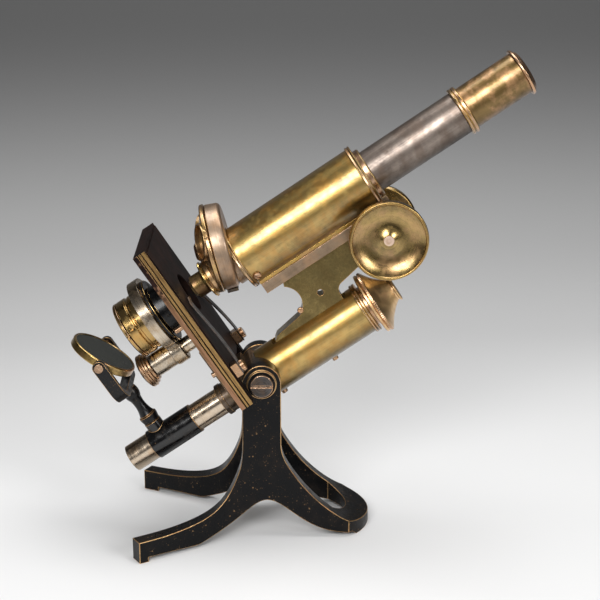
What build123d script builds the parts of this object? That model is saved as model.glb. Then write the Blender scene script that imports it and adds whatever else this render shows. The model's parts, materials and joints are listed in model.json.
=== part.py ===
from build123d import *
import os
from math import acos, cos, pi, radians, sin, sqrt, tan

# Brass compound microscope on a black cast stand.
# Sizes are millimetres. The stand is modelled as it stands, with its inclination axis over X = 0.
# Everything above that axis is modelled upright, with the axis along Y through the origin, the tube along Z
# and the user's side towards +X, and is leaned back as a whole when it is written.

# Clearances
running = 0.05
seating = 0.02
passing = 0.3

# Stand
pivot_height = 97.0
lean = 56.5
upright_radius = 11.4
upright_outer = 26.5
casting_wall = 9.3
front_reach = 71.5
leg_splay = 29.5
leg_bend_start = -2.0
leg_bend_radius = 40.0
foot_height = 13.0
foot_pad_length = 5.0
foot_pad_height = 2.8
arch_height = 24.0
arch_x = 3.0
front_shoulder = 66.0
rear_shoulder = 60.0
rear_corner_x = 52.0
rear_corner_y = 29.0
rear_reach = 66.0
rear_land = 14.0
rear_height = 7.5
rear_toe = 9.0
boss_radius = 8.5
boss_face = 28.4
trunnion_radius = 5.0
trunnion_head_radius = 6.7
trunnion_head_height = 2.8
trunnion_inner = 8.0
trunnion_slot = 1.4

# Limb joint, column and tail
optical_x = -64.7
column_x = 2.6
joint_radius = 11.0
column_radius = 15.0
column_bore = 11.5
column_low = 3.0
column_top = 72.0
spigot_top = 13.0
column_ring_radius = 16.2
column_ring_top = 75.4
slot_low = 16.0
slot_high = 68.5
bracket_half_width = 13.0
bracket_front = 33.0
bracket_depth = 6.1
tail_radius = 8.5
tail_wall = 1.3
tail_end = -96.0
tail_socket_low = -26.5
tail_socket_high = -17.0
tail_socket_wall = 1.1
tail_flange_radius = 10.2
tail_flange_height = 3.0
column_screw_heights = (5.0, 41.8)
column_screw_radius = 1.2
column_screw_head = 1.9
column_screw_head_height = 2.2

# Stage and clips
stage_top_z = -7.5
stage_plate_height = 4.9
stage_top_height = 2.9
stage_facing_height = 0.6
stage_front = -105.5
stage_rear = 3.0
stage_half_width = 40.4
stage_recess_x = -13.6
stage_recess_half = 29.6
stage_opening = 17.0
slide_opening = 12.5
facing_margin = 2.0
stage_groove = 0.7
pin_radius = 1.6
pin_places = ((-55.0, 28.0, 7.0), (-21.0, 28.0, 4.5))
clip_x = -18.0
clip_y = 33.5
clip_block = (8.0, 8.0, 4.2)
clip_stud_radius = 1.5
clip_stud_depth = 3.3
clip_head_radius = 3.2
clip_head_height = 2.4
blade_width = 6.0
blade_thickness = 0.8
blade_length = 50.0
blade_turn = 15.0

# Fine focus
fine_screw_radius = 3.0
fine_screw_low = 50.0
fine_head_radius = 19.6
fine_head_low = 77.5
fine_rim_height = 4.6
fine_head_top = 95.8
core_low = 18.0
core_high = 66.0
core_flat = 9.0

# Arm, guide rails and pinion
web_half = 5.9
web_slot_gap = 0.1
web_top = 39.9
web_low = 18.5
web_high = 66.5
web_hole_radius = 1.9
rail_half_width = 10.0
rail_top = 46.3
rail_floor = 41.6
rail_low = 31.5
rail_high = 121.0
dovetail_neck = 5.0
dovetail_base = 7.2
dovetail_gap = 0.08
pinion_z = 108.3
pinion_b = 30.5
gear_module = 0.8
pinion_teeth = 20
pressure_angle = 20.0
backlash = 0.12
tooth_dedendum = 1.0
gear_half_width = 3.9
rack_half_width = 4.0
rack_gap = 0.25
rack_low = 31.6
rack_teeth_low = 58.0
rack_high = 116.0
housing_low = 96.5
housing_high = 120.5
housing_bottom = 19.5
housing_half = 9.8
pinion_room = 0.6
shaft_radius = 3.0
knob_radius = 23.0
knob_face = 29.7
knob_back = 22.4
knob_hub_face = 10.2
knob_hub_radius = 9.0
knob_dish = 5.6
knob_valley = 13.2
knob_boss_radius = 9.5
knob_boss_foot = 0.82
shaft_end = 27.4
shaft_showing = 0.5

# Body tube, draw tube and eyepiece
body_radius = 18.75
body_bore = 16.5
body_low = 27.6
body_high = 118.0
body_ring_radius = 20.0
body_ring_height = 3.0
slide_low = 31.2
slide_high = 113.5
slide_plate_half = 9.6
slide_plate_gap = 0.2
draw_radius = 13.0
draw_wall = 1.2
draw_low = 95.0
draw_high = 182.5
bush_low = 92.0
bush_top = 121.4
bush_lip_radius = 15.6
draw_ring_radius = 15.0
draw_ring_height = 4.6
eyepiece_radius = 12.9
eyepiece_low = 150.0
eyepiece_high = 223.5
eyepiece_wall = 1.1
cap_radius = 14.7
cap_height = 4.2
cap_hole = 4.0
eye_lens_radius = 7.0
lens_edge = 2.0

# Nosepiece and objective
nose_tilt = 19.4
nose_drop = 40.9
nose_meet_z = 58.5
disc_radius = 26.6
disc_rim = 2.8
disc_hub_drop = 9.6
cover_radius = 25.9
cover_gap = 0.3
cover_band = 7.4
cover_height = 9.3
neck_radius = 13.5
neck_height = 5.8
light_bore = 8.0
pivot_radius = 2.5
pivot_head_radius = 5.6
port_count = 3
port_radius = 9.8
port_collar_radius = 11.0
port_collar_height = 1.4
port_thread = 3.2
objective_seat_z = 8.2
objective_ring_radius = 11.45
objective_ring_height = 3.0
objective_body_radius = 7.6
objective_tip_radius = 5.2
objective_tip_z = -4.6
front_lens_radius = 3.0
front_lens_height = 1.4

# Substage
post_x = -38.6
post_radius = 4.8
knob_low = -59.0
knob_high = -51.4
substage_knob_radius = 10.8
lead_screw_radius = 2.0
lead_screw_high = -30.0
sleeve_radius = 7.2
sleeve_low = -51.1
sleeve_high = -29.4
carrier_radius = 23.8
carrier_bore = 19.0
carrier_low = -36.0
carrier_high = -29.4
cell_flange_radius = 20.9
cell_flange_height = 2.5
cell_barrel_radius = 15.8
cell_top = -18.6
drum_radius = 18.2
drum_low = -48.0
iris_low = -50.7
iris_screw_radius = 0.9
condenser_bore = 13.0

# Mirror
sleeve_wall = 0.8
mirror_sleeve_low = -80.3
mirror_sleeve_high = -49.3
stem_z = -72.3
stem_boss_radius = 5.4
stem_boss_end = 13.4
stem_spigot_radius = 2.5
fork_base = 38.4
fork_bar = 4.0
fork_arm = 3.6
fork_inner = 23.6
fork_half_height = 3.8
mirror_reach = 64.1
mirror_radius = 20.5
mirror_tilt = 26.0
mirror_half_height = 2.5
glass_radius = 18.9
glass_height = 1.6
hollow_depth = 1.0
fork_pin_radius = 1.8
fork_pin_head = 2.7

# Worked out from the sizes above
upright_inner = upright_outer - casting_wall
joint_half_width = upright_inner - passing
stage_low_z = stage_top_z - stage_facing_height - stage_top_height - stage_plate_height
plate_top_z = stage_low_z + stage_plate_height
pitch_radius = gear_module * pinion_teeth / 2
tooth_pitch = pi * gear_module
rack_pitch_b = pinion_b + pitch_radius
tail_bore = tail_radius - tail_wall
draw_bore = draw_radius - draw_wall
barrel_radius = draw_bore - running
fork_tip = mirror_reach + fork_half_height


def upright_axis(x):
    """Section plane of a turned piece: radius along +X, height along Z."""
    return Plane(origin=(x, 0, 0), x_dir=(1, 0, 0), z_dir=(0, -1, 0))


def turn(outline, plane, mode=Mode.ADD):
    """Revolve a closed outline of (radius, height) points about the plane's own Y direction."""
    with BuildSketch(plane) as section:
        with BuildLine():
            Polyline(*outline, close=True)
        make_face()
    revolve(section.sketch, axis=Axis(plane.origin, plane.y_dir), mode=mode)


def ring(inner, outer, low, high, plane, mode=Mode.ADD):
    """Plain ring, or a rod where the inner radius is 0."""
    turn([(inner, low), (outer, low), (outer, high), (inner, high)], plane, mode)


def cross_rod(radius, y_low, y_high, x=0.0, z=0.0, mode=Mode.ADD):
    """Rod along Y."""
    with Locations(Location((x, (y_low + y_high) / 2, z), (90, 0, 0))):
        Cylinder(radius, y_high - y_low, mode=mode)


def block(x_span, y_span, z_span, mode=Mode.ADD):
    """Box between three pairs of limits."""
    spans = (x_span, y_span, z_span)
    middle = tuple((low + high) / 2 for low, high in spans)
    with Locations(middle):
        Box(*(high - low for low, high in spans), mode=mode)


def side_span(side, near, far):
    """Limits along Y of a piece on one side of the middle plane."""
    return tuple(sorted((side * near, side * far)))


# Stand: the casting is its side view met by its plan
def bend_point(radius, angle):
    """Point on a leg's bend in plan, at an angle in degrees from the upright."""
    turned = radians(angle)
    return (leg_bend_start - radius * sin(turned), upright_outer + leg_bend_radius - radius * cos(turned))


inner_bend = leg_bend_radius + casting_wall
outer_root = bend_point(leg_bend_radius, leg_splay)
leg_run = (outer_root[0] + front_reach) / cos(radians(leg_splay))
leg_step = Vector(-cos(radians(leg_splay)), sin(radians(leg_splay))) * leg_run
tip_outer = Vector(*outer_root) + leg_step
tip_inner = Vector(*bend_point(inner_bend, leg_splay)) + leg_step
slot_end = rear_reach - rear_land
slot_corner = (rear_corner_x - casting_wall, rear_corner_y - casting_wall)
far_front = tip_inner.X - 1
far_rear = rear_reach + 1
pad_x = foot_pad_length - front_reach
pivot_top = pivot_height + upright_radius

with BuildPart() as foot_casting:
    with BuildSketch(Plane.XZ):
        with BuildLine():
            front_top = Spline(
                (far_front, foot_height),
                (-45, foot_height + 2),
                (-25, foot_height + 10.5),
                (-14.5, 41),
                (-upright_radius, front_shoulder),
                tangents=((1, 0), (0, 1)),
            )
            Line((-upright_radius, front_shoulder), (-upright_radius, pivot_height))
            ThreePointArc((-upright_radius, pivot_height), (0, pivot_top), (upright_radius, pivot_height))
            Line((upright_radius, pivot_height), (upright_radius, rear_shoulder))
            rear_top = Spline(
                (upright_radius, rear_shoulder),
                (17, 43.5),
                (30, 26.8),
                (rear_corner_x, rear_height + 3),
                (far_rear, rear_height),
                tangents=((0, -1), (1, -0.15)),
            )
            Line((far_rear, rear_height), (far_rear, 0))
            Line((far_rear, 0), (rear_reach - rear_toe, 0))
            Line((rear_reach - rear_toe, 0), (rear_reach - rear_toe - foot_pad_height, foot_pad_height))
            Spline(
                (rear_reach - rear_toe - foot_pad_height, foot_pad_height),
                (40, foot_pad_height + 1.5),
                (20, 14.5),
                (arch_x, arch_height),
                (-14, 14),
                (-34, foot_pad_height + 1),
                (pad_x, foot_pad_height),
                tangents=((-1, 0), (-1, 0)),
            )
            Line((pad_x, foot_pad_height), (pad_x, 0))
            Line((pad_x, 0), (far_front, 0))
            Line((far_front, 0), (far_front, foot_height))
        make_face()
    extrude(amount=front_reach, both=True)
    with BuildSketch(Plane.XY):
        with BuildLine():
            Line(tip_outer, outer_root)
            ThreePointArc(
                outer_root,
                bend_point(leg_bend_radius, leg_splay / 2),
                (leg_bend_start, upright_outer),
            )
            Line((leg_bend_start, upright_outer), (rear_corner_x, rear_corner_y))
            TangentArc((rear_reach, 0), (rear_corner_x, rear_corner_y), tangent=(0, 1))
            Line((rear_reach, 0), (slot_end, 0))
            TangentArc((slot_end, 0), slot_corner, tangent=(0, 1))
            Line(slot_corner, (leg_bend_start, upright_inner))
            ThreePointArc(
                (leg_bend_start, upright_inner),
                bend_point(inner_bend, leg_splay / 2),
                bend_point(inner_bend, leg_splay),
            )
            Line(bend_point(inner_bend, leg_splay), tip_inner)
            Line(tip_inner, tip_outer)
        make_face()
        mirror(about=Plane.XZ)
    extrude(amount=pivot_top + 1, mode=Mode.INTERSECT)
    for side in (-1, 1):
        cross_rod(boss_radius, *side_span(side, upright_outer - 1, boss_face), z=pivot_height)
    cross_rod(trunnion_radius + seating, -boss_face, boss_face, z=pivot_height, mode=Mode.SUBTRACT)

with BuildPart() as trunnion_screws:
    for side in (-1, 1):
        head_face = boss_face + trunnion_head_height
        cross_rod(trunnion_radius, *side_span(side, trunnion_inner, boss_face), z=pivot_height)
        cross_rod(trunnion_head_radius, *side_span(side, boss_face, head_face), z=pivot_height)
        block(
            (-trunnion_head_radius, trunnion_head_radius),
            side_span(side, head_face - trunnion_slot, head_face),
            (pivot_height - trunnion_slot / 2, pivot_height + trunnion_slot / 2),
            mode=Mode.SUBTRACT,
        )

# Limb: joint block, column and tail socket
column_axis = upright_axis(column_x)
optical_axis = upright_axis(optical_x)
tail_socket_radius = tail_radius + running + tail_socket_wall

with BuildPart() as limb_joint:
    cross_rod(joint_radius, -joint_half_width, joint_half_width)
    ring(0, column_bore - seating, 0, spigot_top, column_axis)
    ring(0, tail_socket_radius, tail_socket_low, 0, column_axis)
    block(
        (-bracket_front, -joint_radius / 2),
        (-bracket_half_width, bracket_half_width),
        (stage_low_z - bracket_depth, stage_low_z),
    )
    block(
        (stage_recess_x + passing, 0),
        (-bracket_half_width, bracket_half_width),
        (stage_low_z - bracket_depth, -joint_radius / 2),
    )
    cross_rod(trunnion_radius + running, -joint_half_width, joint_half_width, mode=Mode.SUBTRACT)
    ring(0, tail_radius + running, tail_socket_low, tail_socket_high, column_axis, mode=Mode.SUBTRACT)

with BuildPart() as column_tube:
    ring(column_bore, column_radius, column_low, column_top, column_axis)
    cross_rod(joint_radius + seating, -column_radius, column_radius, mode=Mode.SUBTRACT)
    block(
        (column_x - column_radius - 1, column_x - core_flat + 1),
        (-web_half - web_slot_gap, web_half + web_slot_gap),
        (slot_low, slot_high),
        mode=Mode.SUBTRACT,
    )
    for height in column_screw_heights:
        with Locations(Location((column_x + column_radius, 0, height), (0, 90, 0))):
            Cylinder(column_screw_radius + seating, 4 * (column_radius - column_bore), mode=Mode.SUBTRACT)

with BuildPart() as column_screws:
    for height in column_screw_heights:
        with Locations(Location((column_x + column_bore, 0, height), (0, 90, 0))):
            shank = column_radius - column_bore
            Cylinder(column_screw_radius, shank, align=(Align.CENTER, Align.CENTER, Align.MIN))
        with Locations(Location((column_x + column_radius, 0, height), (0, 90, 0))):
            Cylinder(column_screw_head, column_screw_head_height, align=(Align.CENTER, Align.CENTER, Align.MIN))

with BuildPart() as column_ring:
    bead = (column_ring_top - column_top) / 2
    turn(
        [
            (fine_screw_radius + running, column_top),
            (column_ring_radius - 0.3, column_top),
            (column_ring_radius, column_top + 0.3),
            (column_ring_radius, column_top + bead - 0.3),
            (column_ring_radius - 0.7, column_top + bead),
            (column_ring_radius, column_top + bead + 0.3),
            (column_ring_radius, column_ring_top - 0.3),
            (column_ring_radius - 0.3, column_ring_top),
            (column_radius - 2, column_ring_top),
            (column_radius - 2, fine_head_low - passing),
            (fine_screw_radius + running, fine_head_low - passing),
        ],
        column_axis,
    )

with BuildPart() as tail_flange:
    ring(
        tail_radius + running,
        tail_flange_radius,
        tail_socket_low - tail_flange_height,
        tail_socket_low,
        column_axis,
    )

with BuildPart() as tail_tube:
    ring(tail_bore, tail_radius, tail_end, tail_socket_high - passing, column_axis)

# Stage
def stage_slab(low, high, opening, margin):
    """One layer of the stage, recessed at the rear so that the uprights pass."""
    with BuildSketch(Plane.XY.offset(low)) as outline:
        with BuildLine():
            Polyline(
                (stage_front + margin, stage_half_width - margin),
                (stage_rear - margin, stage_half_width - margin),
                (stage_rear - margin, stage_recess_half + margin),
                (stage_recess_x - margin, stage_recess_half + margin),
                (stage_recess_x - margin, 0),
                (stage_front + margin, 0),
                close=True,
            )
        make_face()
        mirror(about=Plane.XZ)
    extrude(outline.sketch, amount=high - low)
    ring(0, opening, low, high, optical_axis, mode=Mode.SUBTRACT)


facing_low_z = stage_top_z - stage_facing_height
stud_hole_low = stage_top_z - clip_stud_depth

with BuildPart() as stage_plate:
    stage_slab(stage_low_z, plate_top_z, stage_opening, 0)
    with BuildSketch(Plane.XZ.offset(stage_half_width)):
        with Locations(((stage_front + stage_rear) / 2, plate_top_z - stage_plate_height / 3)):
            Rectangle(2 * (stage_rear - stage_front), stage_groove)
    extrude(amount=-stage_groove, mode=Mode.SUBTRACT)
    with BuildSketch(Plane.XZ.offset(-stage_half_width)):
        with Locations(((stage_front + stage_rear) / 2, plate_top_z - stage_plate_height / 3)):
            Rectangle(2 * (stage_rear - stage_front), stage_groove)
    extrude(amount=stage_groove, mode=Mode.SUBTRACT)

with BuildPart() as stage_top:
    stage_slab(plate_top_z, facing_low_z, slide_opening, 0)
    for side in (-1, 1):
        block(
            (2 * stage_front, -stage_front),
            side_span(side, stage_half_width - stage_groove, stage_half_width + 1),
            (plate_top_z, plate_top_z + stage_groove),
            mode=Mode.SUBTRACT,
        )
        with Locations((clip_x, side * clip_y, stud_hole_low)):
            Cylinder(
                clip_stud_radius + running,
                clip_stud_depth,
                align=(Align.CENTER, Align.CENTER, Align.MIN),
                mode=Mode.SUBTRACT,
            )

with BuildPart() as stage_facing:
    stage_slab(facing_low_z, stage_top_z, slide_opening, facing_margin)
    for side in (-1, 1):
        with Locations((clip_x, side * clip_y, stud_hole_low)):
            Cylinder(
                clip_stud_radius + running,
                clip_stud_depth,
                align=(Align.CENTER, Align.CENTER, Align.MIN),
                mode=Mode.SUBTRACT,
            )

with BuildPart() as stage_pins:
    for x, y, length in pin_places:
        for side in (-1, 1):
            with Locations((x, side * y, stage_low_z)):
                Cylinder(pin_radius, length, align=(Align.CENTER, Align.CENTER, Align.MAX))


# Stage clips: a stud turns in the stage and carries a block and a sprung blade


def clip_pillar(side):
    """Block, stud and milled head of one clip."""
    length, width, height = clip_block
    block_low = stage_top_z + passing
    with Locations((clip_x, side * clip_y, block_low)):
        Box(length, width, height, align=(Align.CENTER, Align.CENTER, Align.MIN))
        Cylinder(clip_stud_radius, clip_stud_depth, align=(Align.CENTER, Align.CENTER, Align.MAX))
    with Locations((clip_x, side * clip_y, block_low + height + blade_thickness)):
        Cylinder(clip_head_radius, clip_head_height, align=(Align.CENTER, Align.CENTER, Align.MIN))
    with Locations((clip_x, side * clip_y, block_low + height)):
        Cylinder(clip_stud_radius, blade_thickness, align=(Align.CENTER, Align.CENTER, Align.MIN))


def clip_blade(side):
    """Sprung strip that starts on the block, arches forward and comes down on the stage."""
    strip = Plane(
        origin=(clip_x, side * clip_y, 0),
        x_dir=(-cos(radians(blade_turn)), -side * sin(radians(blade_turn)), 0),
        z_dir=(-side * sin(radians(blade_turn)), cos(radians(blade_turn)), 0),
    )
    rise = 1 if strip.y_dir.Z > 0 else -1
    high = stage_top_z + passing + clip_block[2]
    low = stage_top_z + passing
    reach = clip_block[0] / 2
    with BuildSketch(strip) as section:
        with BuildLine():
            top = Spline(
                (reach, rise * (high + blade_thickness)),
                (blade_length / 2, rise * (high - 0.6)),
                (blade_length - 4, rise * (low + blade_thickness)),
                tangents=((1, 0), (1, -0.12 * rise)),
            )
            Line(top @ 1, (blade_length, rise * (low + 2 * blade_thickness)))
            Line((blade_length, rise * (low + 2 * blade_thickness)), (blade_length, rise * (low + blade_thickness)))
            Line((blade_length, rise * (low + blade_thickness)), (blade_length - 4, rise * low))
            lower = Spline(
                (blade_length - 4, rise * low),
                (blade_length / 2, rise * (high - 0.6 - blade_thickness)),
                (reach, rise * high),
                tangents=((-1, 0.12 * rise), (-1, 0)),
            )
            Line(lower @ 1, (-reach, rise * high))
            Line((-reach, rise * high), (-reach, rise * (high + blade_thickness)))
            Line((-reach, rise * (high + blade_thickness)), top @ 0)
        make_face()
    extrude(section.sketch, amount=blade_width / 2, both=True)
    with Locations((clip_x, side * clip_y, high)):
        Cylinder(clip_stud_radius + seating, 4 * blade_thickness, mode=Mode.SUBTRACT)


with BuildPart() as clip_near_pillar:
    clip_pillar(-1)

with BuildPart() as clip_near_blade:
    clip_blade(-1)

with BuildPart() as clip_far_pillar:
    clip_pillar(1)

with BuildPart() as clip_far_blade:
    clip_blade(1)

# Fine focus: the screw is held by the column ring and drives the core that carries the arm
with BuildPart() as fine_screw:
    ring(0, fine_screw_radius, fine_screw_low, fine_head_low + 2 * fine_rim_height, column_axis)

with BuildPart() as fine_head:
    rim_top = fine_head_low + fine_rim_height
    bore = fine_screw_radius + seating
    with BuildSketch(column_axis):
        with BuildLine():
            Polyline(
                (bore, fine_head_low),
                (fine_head_radius - 0.4, fine_head_low),
                (fine_head_radius, fine_head_low + 0.4),
                (fine_head_radius, fine_head_low + 1.7),
                (fine_head_radius - 0.8, fine_head_low + 2.1),
                (fine_head_radius, fine_head_low + 2.5),
                (fine_head_radius, rim_top - 0.5),
                (fine_head_radius - 0.6, rim_top),
            )
            ThreePointArc((fine_head_radius - 0.6, rim_top), (12.7, rim_top + 4.6), (7.0, rim_top + 11.0))
            Polyline(
                (7.0, rim_top + 11.0),
                (7.0, fine_head_top - 1.6),
                (8.0, fine_head_top - 1.4),
                (8.0, fine_head_top - 0.4),
                (7.3, fine_head_top),
                (0, fine_head_top),
                (0, fine_head_low + 2 * fine_rim_height),
                (bore, fine_head_low + 2 * fine_rim_height),
                (bore, fine_head_low),
            )
        make_face()
    revolve(axis=Axis(column_axis.origin, column_axis.y_dir))

with BuildPart() as slide_core:
    ring(fine_screw_radius + running, column_bore - 2 * running, core_low, core_high, column_axis)
    block(
        (column_x - 2 * column_bore, column_x - core_flat),
        (-column_bore, column_bore),
        (core_low, core_high),
        mode=Mode.SUBTRACT,
    )

# Arm: web between the core and the guide rails, drawn in the middle plane with b measured forwards
web_root = column_x - core_flat

with BuildPart() as arm_web:
    with BuildSketch(Plane.XZ.offset(-web_half)):
        with BuildLine():
            Polyline((web_root, web_low), (-11.8, web_low), (-14, web_low + 3), (-16.7, 38.8))
            ThreePointArc((-16.7, 38.8), (-25, 45.8), (-36.7, 41.3))
            Polyline(
                (-36.7, 41.3),
                (-web_top, 42.5),
                (-web_top, housing_low),
                (-housing_bottom - 4, housing_low),
                (-22.3, 84.8),
                (-19.6, 70),
            )
            ThreePointArc((-19.6, 70), (-17.6, web_high + 1), (-14.5, web_high))
            Polyline((-14.5, web_high), (web_root, web_high), (web_root, web_low))
        make_face()
    extrude(amount=2 * web_half)
    cross_rod(web_hole_radius, -web_half, web_half, x=-21.8, z=57.2, mode=Mode.SUBTRACT)
    block(
        (-web_top, -rack_pitch_b + gear_module + rack_gap),
        (-rack_half_width - rack_gap, rack_half_width + rack_gap),
        (0, housing_high),
        mode=Mode.SUBTRACT,
    )

with BuildPart() as arm_screw:
    with Locations(Location((-19.5, -web_half, 41.5), (90, 0, 0))):
        Cylinder(1.9, 1.2, align=(Align.CENTER, Align.CENTER, Align.MIN))

with BuildPart() as guide_rails:
    block((-rail_top, -web_top), (-rail_half_width, rail_half_width), (rail_low, rail_high))
    with BuildSketch(Plane.XY.offset(rail_low)):
        with BuildLine():
            Polyline(
                (-rail_top, dovetail_neck),
                (-rail_floor, dovetail_base),
                (-rail_floor, -dovetail_base),
                (-rail_top, -dovetail_neck),
                close=True,
            )
        make_face()
    extrude(amount=rail_high - rail_low, mode=Mode.SUBTRACT)
    block(
        (-rail_floor, -web_top),
        (-rack_half_width - rack_gap, rack_half_width + rack_gap),
        (rail_low, rail_high),
        mode=Mode.SUBTRACT,
    )

with BuildPart() as pinion_housing:
    block((-web_top, -housing_bottom), (-housing_half, housing_half), (housing_low, housing_high))
    gear_room = gear_half_width + pinion_room
    cross_rod(
        pitch_radius + gear_module + pinion_room,
        -gear_room,
        gear_room,
        x=-pinion_b,
        z=pinion_z,
        mode=Mode.SUBTRACT,
    )
    block(
        (-web_top, -rack_pitch_b + gear_module + rack_gap),
        (-rack_half_width - rack_gap, rack_half_width + rack_gap),
        (housing_low, housing_high),
        mode=Mode.SUBTRACT,
    )
    cross_rod(shaft_radius + running, -housing_half, housing_half, x=-pinion_b, z=pinion_z, mode=Mode.SUBTRACT)

# Coarse focus: involute pinion, rack and knobs
base_radius = pitch_radius * cos(radians(pressure_angle))
tip_radius = pitch_radius + gear_module - backlash
root_radius = pitch_radius - tooth_dedendum


def involute(radius):
    """Roll angle less pressure angle of the involute at a radius, in radians."""
    angle = acos(min(1.0, base_radius / radius))
    return tan(angle) - angle


def tooth_half_angle(radius):
    """Half the angle that a pinion tooth takes up at a radius, in radians."""
    at_pitch = pi / (2 * pinion_teeth) - backlash / (2 * pitch_radius)
    return at_pitch + involute(pitch_radius) - involute(radius)


flank_radii = [root_radius, base_radius, (base_radius + pitch_radius) / 2, pitch_radius, tip_radius]


def pinion_outline():
    """Closed outline of the pinion, with one tooth centred on the way to the rack."""
    points = []
    for tooth in range(pinion_teeth):
        centre = pi + 2 * pi * tooth / pinion_teeth
        for radius in flank_radii:
            angle = centre - tooth_half_angle(max(radius, base_radius))
            points.append((radius * cos(angle), radius * sin(angle)))
        for radius in reversed(flank_radii):
            angle = centre + tooth_half_angle(max(radius, base_radius))
            points.append((radius * cos(angle), radius * sin(angle)))
    return points


pinion_axis_plane = Plane(origin=(-pinion_b, 0, pinion_z), x_dir=(1, 0, 0), z_dir=(0, -1, 0))
knob_section = Plane(origin=(-pinion_b, 0, pinion_z), x_dir=(1, 0, 0), z_dir=(0, 0, -1))

with BuildPart() as pinion_shaft:
    cross_rod(shaft_radius, -shaft_end, shaft_end, x=-pinion_b, z=pinion_z)
    with BuildSketch(pinion_axis_plane):
        with BuildLine():
            Polyline(*pinion_outline(), close=True)
        make_face()
    extrude(amount=gear_half_width, both=True)

with BuildPart() as coarse_knob_near:
    dish_floor = knob_face - knob_dish
    with BuildSketch(knob_section):
        with BuildLine():
            Polyline(
                (shaft_radius + seating, knob_hub_face),
                (knob_hub_radius - 1.5, knob_hub_face),
                (knob_hub_radius, knob_back - 3),
                (knob_hub_radius + 3.5, knob_back - 3),
                (knob_hub_radius + 4.5, knob_back - 0.6),
                (knob_radius - 1.2, knob_back),
                (knob_radius, knob_back + 1.4),
                (knob_radius, knob_face - 1.2),
                (knob_radius - 0.5, knob_face),
                (knob_radius - 1.5, knob_face),
                (knob_radius - 1.9, knob_face - 0.7),
            )
            valley = (knob_valley, dish_floor)
            boss_foot = (knob_boss_radius, dish_floor + knob_boss_foot)
            boss_top = (shaft_radius + seating, shaft_end - shaft_showing)
            TangentArc(valley, (knob_radius - 1.9, knob_face - 0.7), tangent=(1, 0))
            rising = TangentArc(valley, boss_foot, tangent=(-1, 0))
            TangentArc(boss_foot, boss_top, tangent=rising % 1)
            Line(boss_top, (shaft_radius + seating, knob_hub_face))
        make_face()
    revolve(axis=Axis(knob_section.origin, knob_section.y_dir))

with BuildPart() as coarse_knob_far:
    mirror(coarse_knob_near.part, about=Plane.XZ)

rack_root_b = rack_pitch_b + tooth_dedendum
rack_tip_b = rack_pitch_b - gear_module + backlash
rack_back_b = rail_floor + dovetail_gap
rack_teeth = int((rack_high - rack_teeth_low) / tooth_pitch)
flank_lean = tan(radians(pressure_angle))


def rack_outline():
    """Side view of the rack, with a gap facing the pinion's middle tooth at rest."""
    points = [(-rack_back_b, rack_low), (-rack_root_b, rack_low)]
    half_at_pitch = tooth_pitch / 4 - backlash / 2
    half_at_root = half_at_pitch + tooth_dedendum * flank_lean
    half_at_tip = half_at_pitch - (rack_pitch_b - rack_tip_b) * flank_lean
    first = int((rack_teeth_low - pinion_z) / tooth_pitch) - 0.5
    for tooth in range(rack_teeth):
        middle = pinion_z + (first + tooth) * tooth_pitch
        points.append((-rack_root_b, middle - half_at_root))
        points.append((-rack_tip_b, middle - half_at_tip))
        points.append((-rack_tip_b, middle + half_at_tip))
        points.append((-rack_root_b, middle + half_at_root))
    return points + [(-rack_root_b, rack_high), (-rack_back_b, rack_high)]


with BuildPart() as rack:
    with BuildSketch(Plane.XZ):
        with BuildLine():
            Polyline(*rack_outline(), close=True)
        make_face()
    extrude(amount=rack_half_width, both=True)

# Body tube and what is fixed to it
with BuildPart() as body_tube:
    ring(body_bore, body_radius, body_low, body_high, optical_axis)

plate_low_b = rail_top + slide_plate_gap

with BuildPart() as slide_bar:
    with BuildSketch(Plane.XY.offset(slide_low)):
        with BuildLine():
            Polyline(
                (-rack_back_b, dovetail_base - dovetail_gap - 0.05),
                (-plate_low_b, dovetail_neck - dovetail_gap - 0.15),
                (-plate_low_b, slide_plate_half),
                (optical_x + body_radius / 2, slide_plate_half),
                (optical_x + body_radius / 2, -slide_plate_half),
                (-plate_low_b, -slide_plate_half),
                (-plate_low_b, -dovetail_neck + dovetail_gap + 0.15),
                (-rack_back_b, -dovetail_base + dovetail_gap + 0.05),
                close=True,
            )
        make_face()
    extrude(amount=slide_high - slide_low)
    ring(0, body_radius + seating, slide_low, slide_high, optical_axis, mode=Mode.SUBTRACT)


def body_ring(low, high):
    """Beaded ring round the body tube, cut flat where the guide rails pass."""
    bead = (high - low) / 2
    turn(
        [
            (body_radius + seating, low),
            (body_ring_radius - 0.4, low),
            (body_ring_radius, low + 0.4),
            (body_ring_radius - 0.5, low + bead),
            (body_ring_radius, high - 0.4),
            (body_ring_radius - 0.4, high),
            (body_radius + seating, high),
        ],
        optical_axis,
    )
    block((-plate_low_b, 0), (-body_radius, body_radius), (low, high), mode=Mode.SUBTRACT)


with BuildPart() as body_lower_ring:
    body_ring(body_low, body_low + body_ring_height)

with BuildPart() as body_upper_ring:
    body_ring(body_high - body_ring_height, body_high)

with BuildPart() as draw_bush:
    bush_bore = draw_radius + running
    turn(
        [
            (bush_bore, bush_low),
            (body_bore - seating, bush_low),
            (body_bore - seating, body_high),
            (bush_lip_radius, body_high),
            (bush_lip_radius, bush_top - 0.6),
            (bush_lip_radius - 0.6, bush_top),
            (bush_bore, bush_top),
        ],
        optical_axis,
    )

screw_angle = 234.0
screw_z = 33.2
screw_out = Vector(-cos(radians(screw_angle)), sin(radians(screw_angle)), 0)
screw_plane = Plane(
    origin=Vector(optical_x, 0, screw_z) + screw_out * (body_radius + 0.1),
    z_dir=screw_out,
)

with BuildPart() as body_screw:
    with Locations(screw_plane.location):
        Cylinder(2.5, 1.6, align=(Align.CENTER, Align.CENTER, Align.MIN))
    chamfer(body_screw.edges().filter_by(GeomType.CIRCLE).sort_by_distance(screw_plane.origin)[-1], 0.6)

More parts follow.
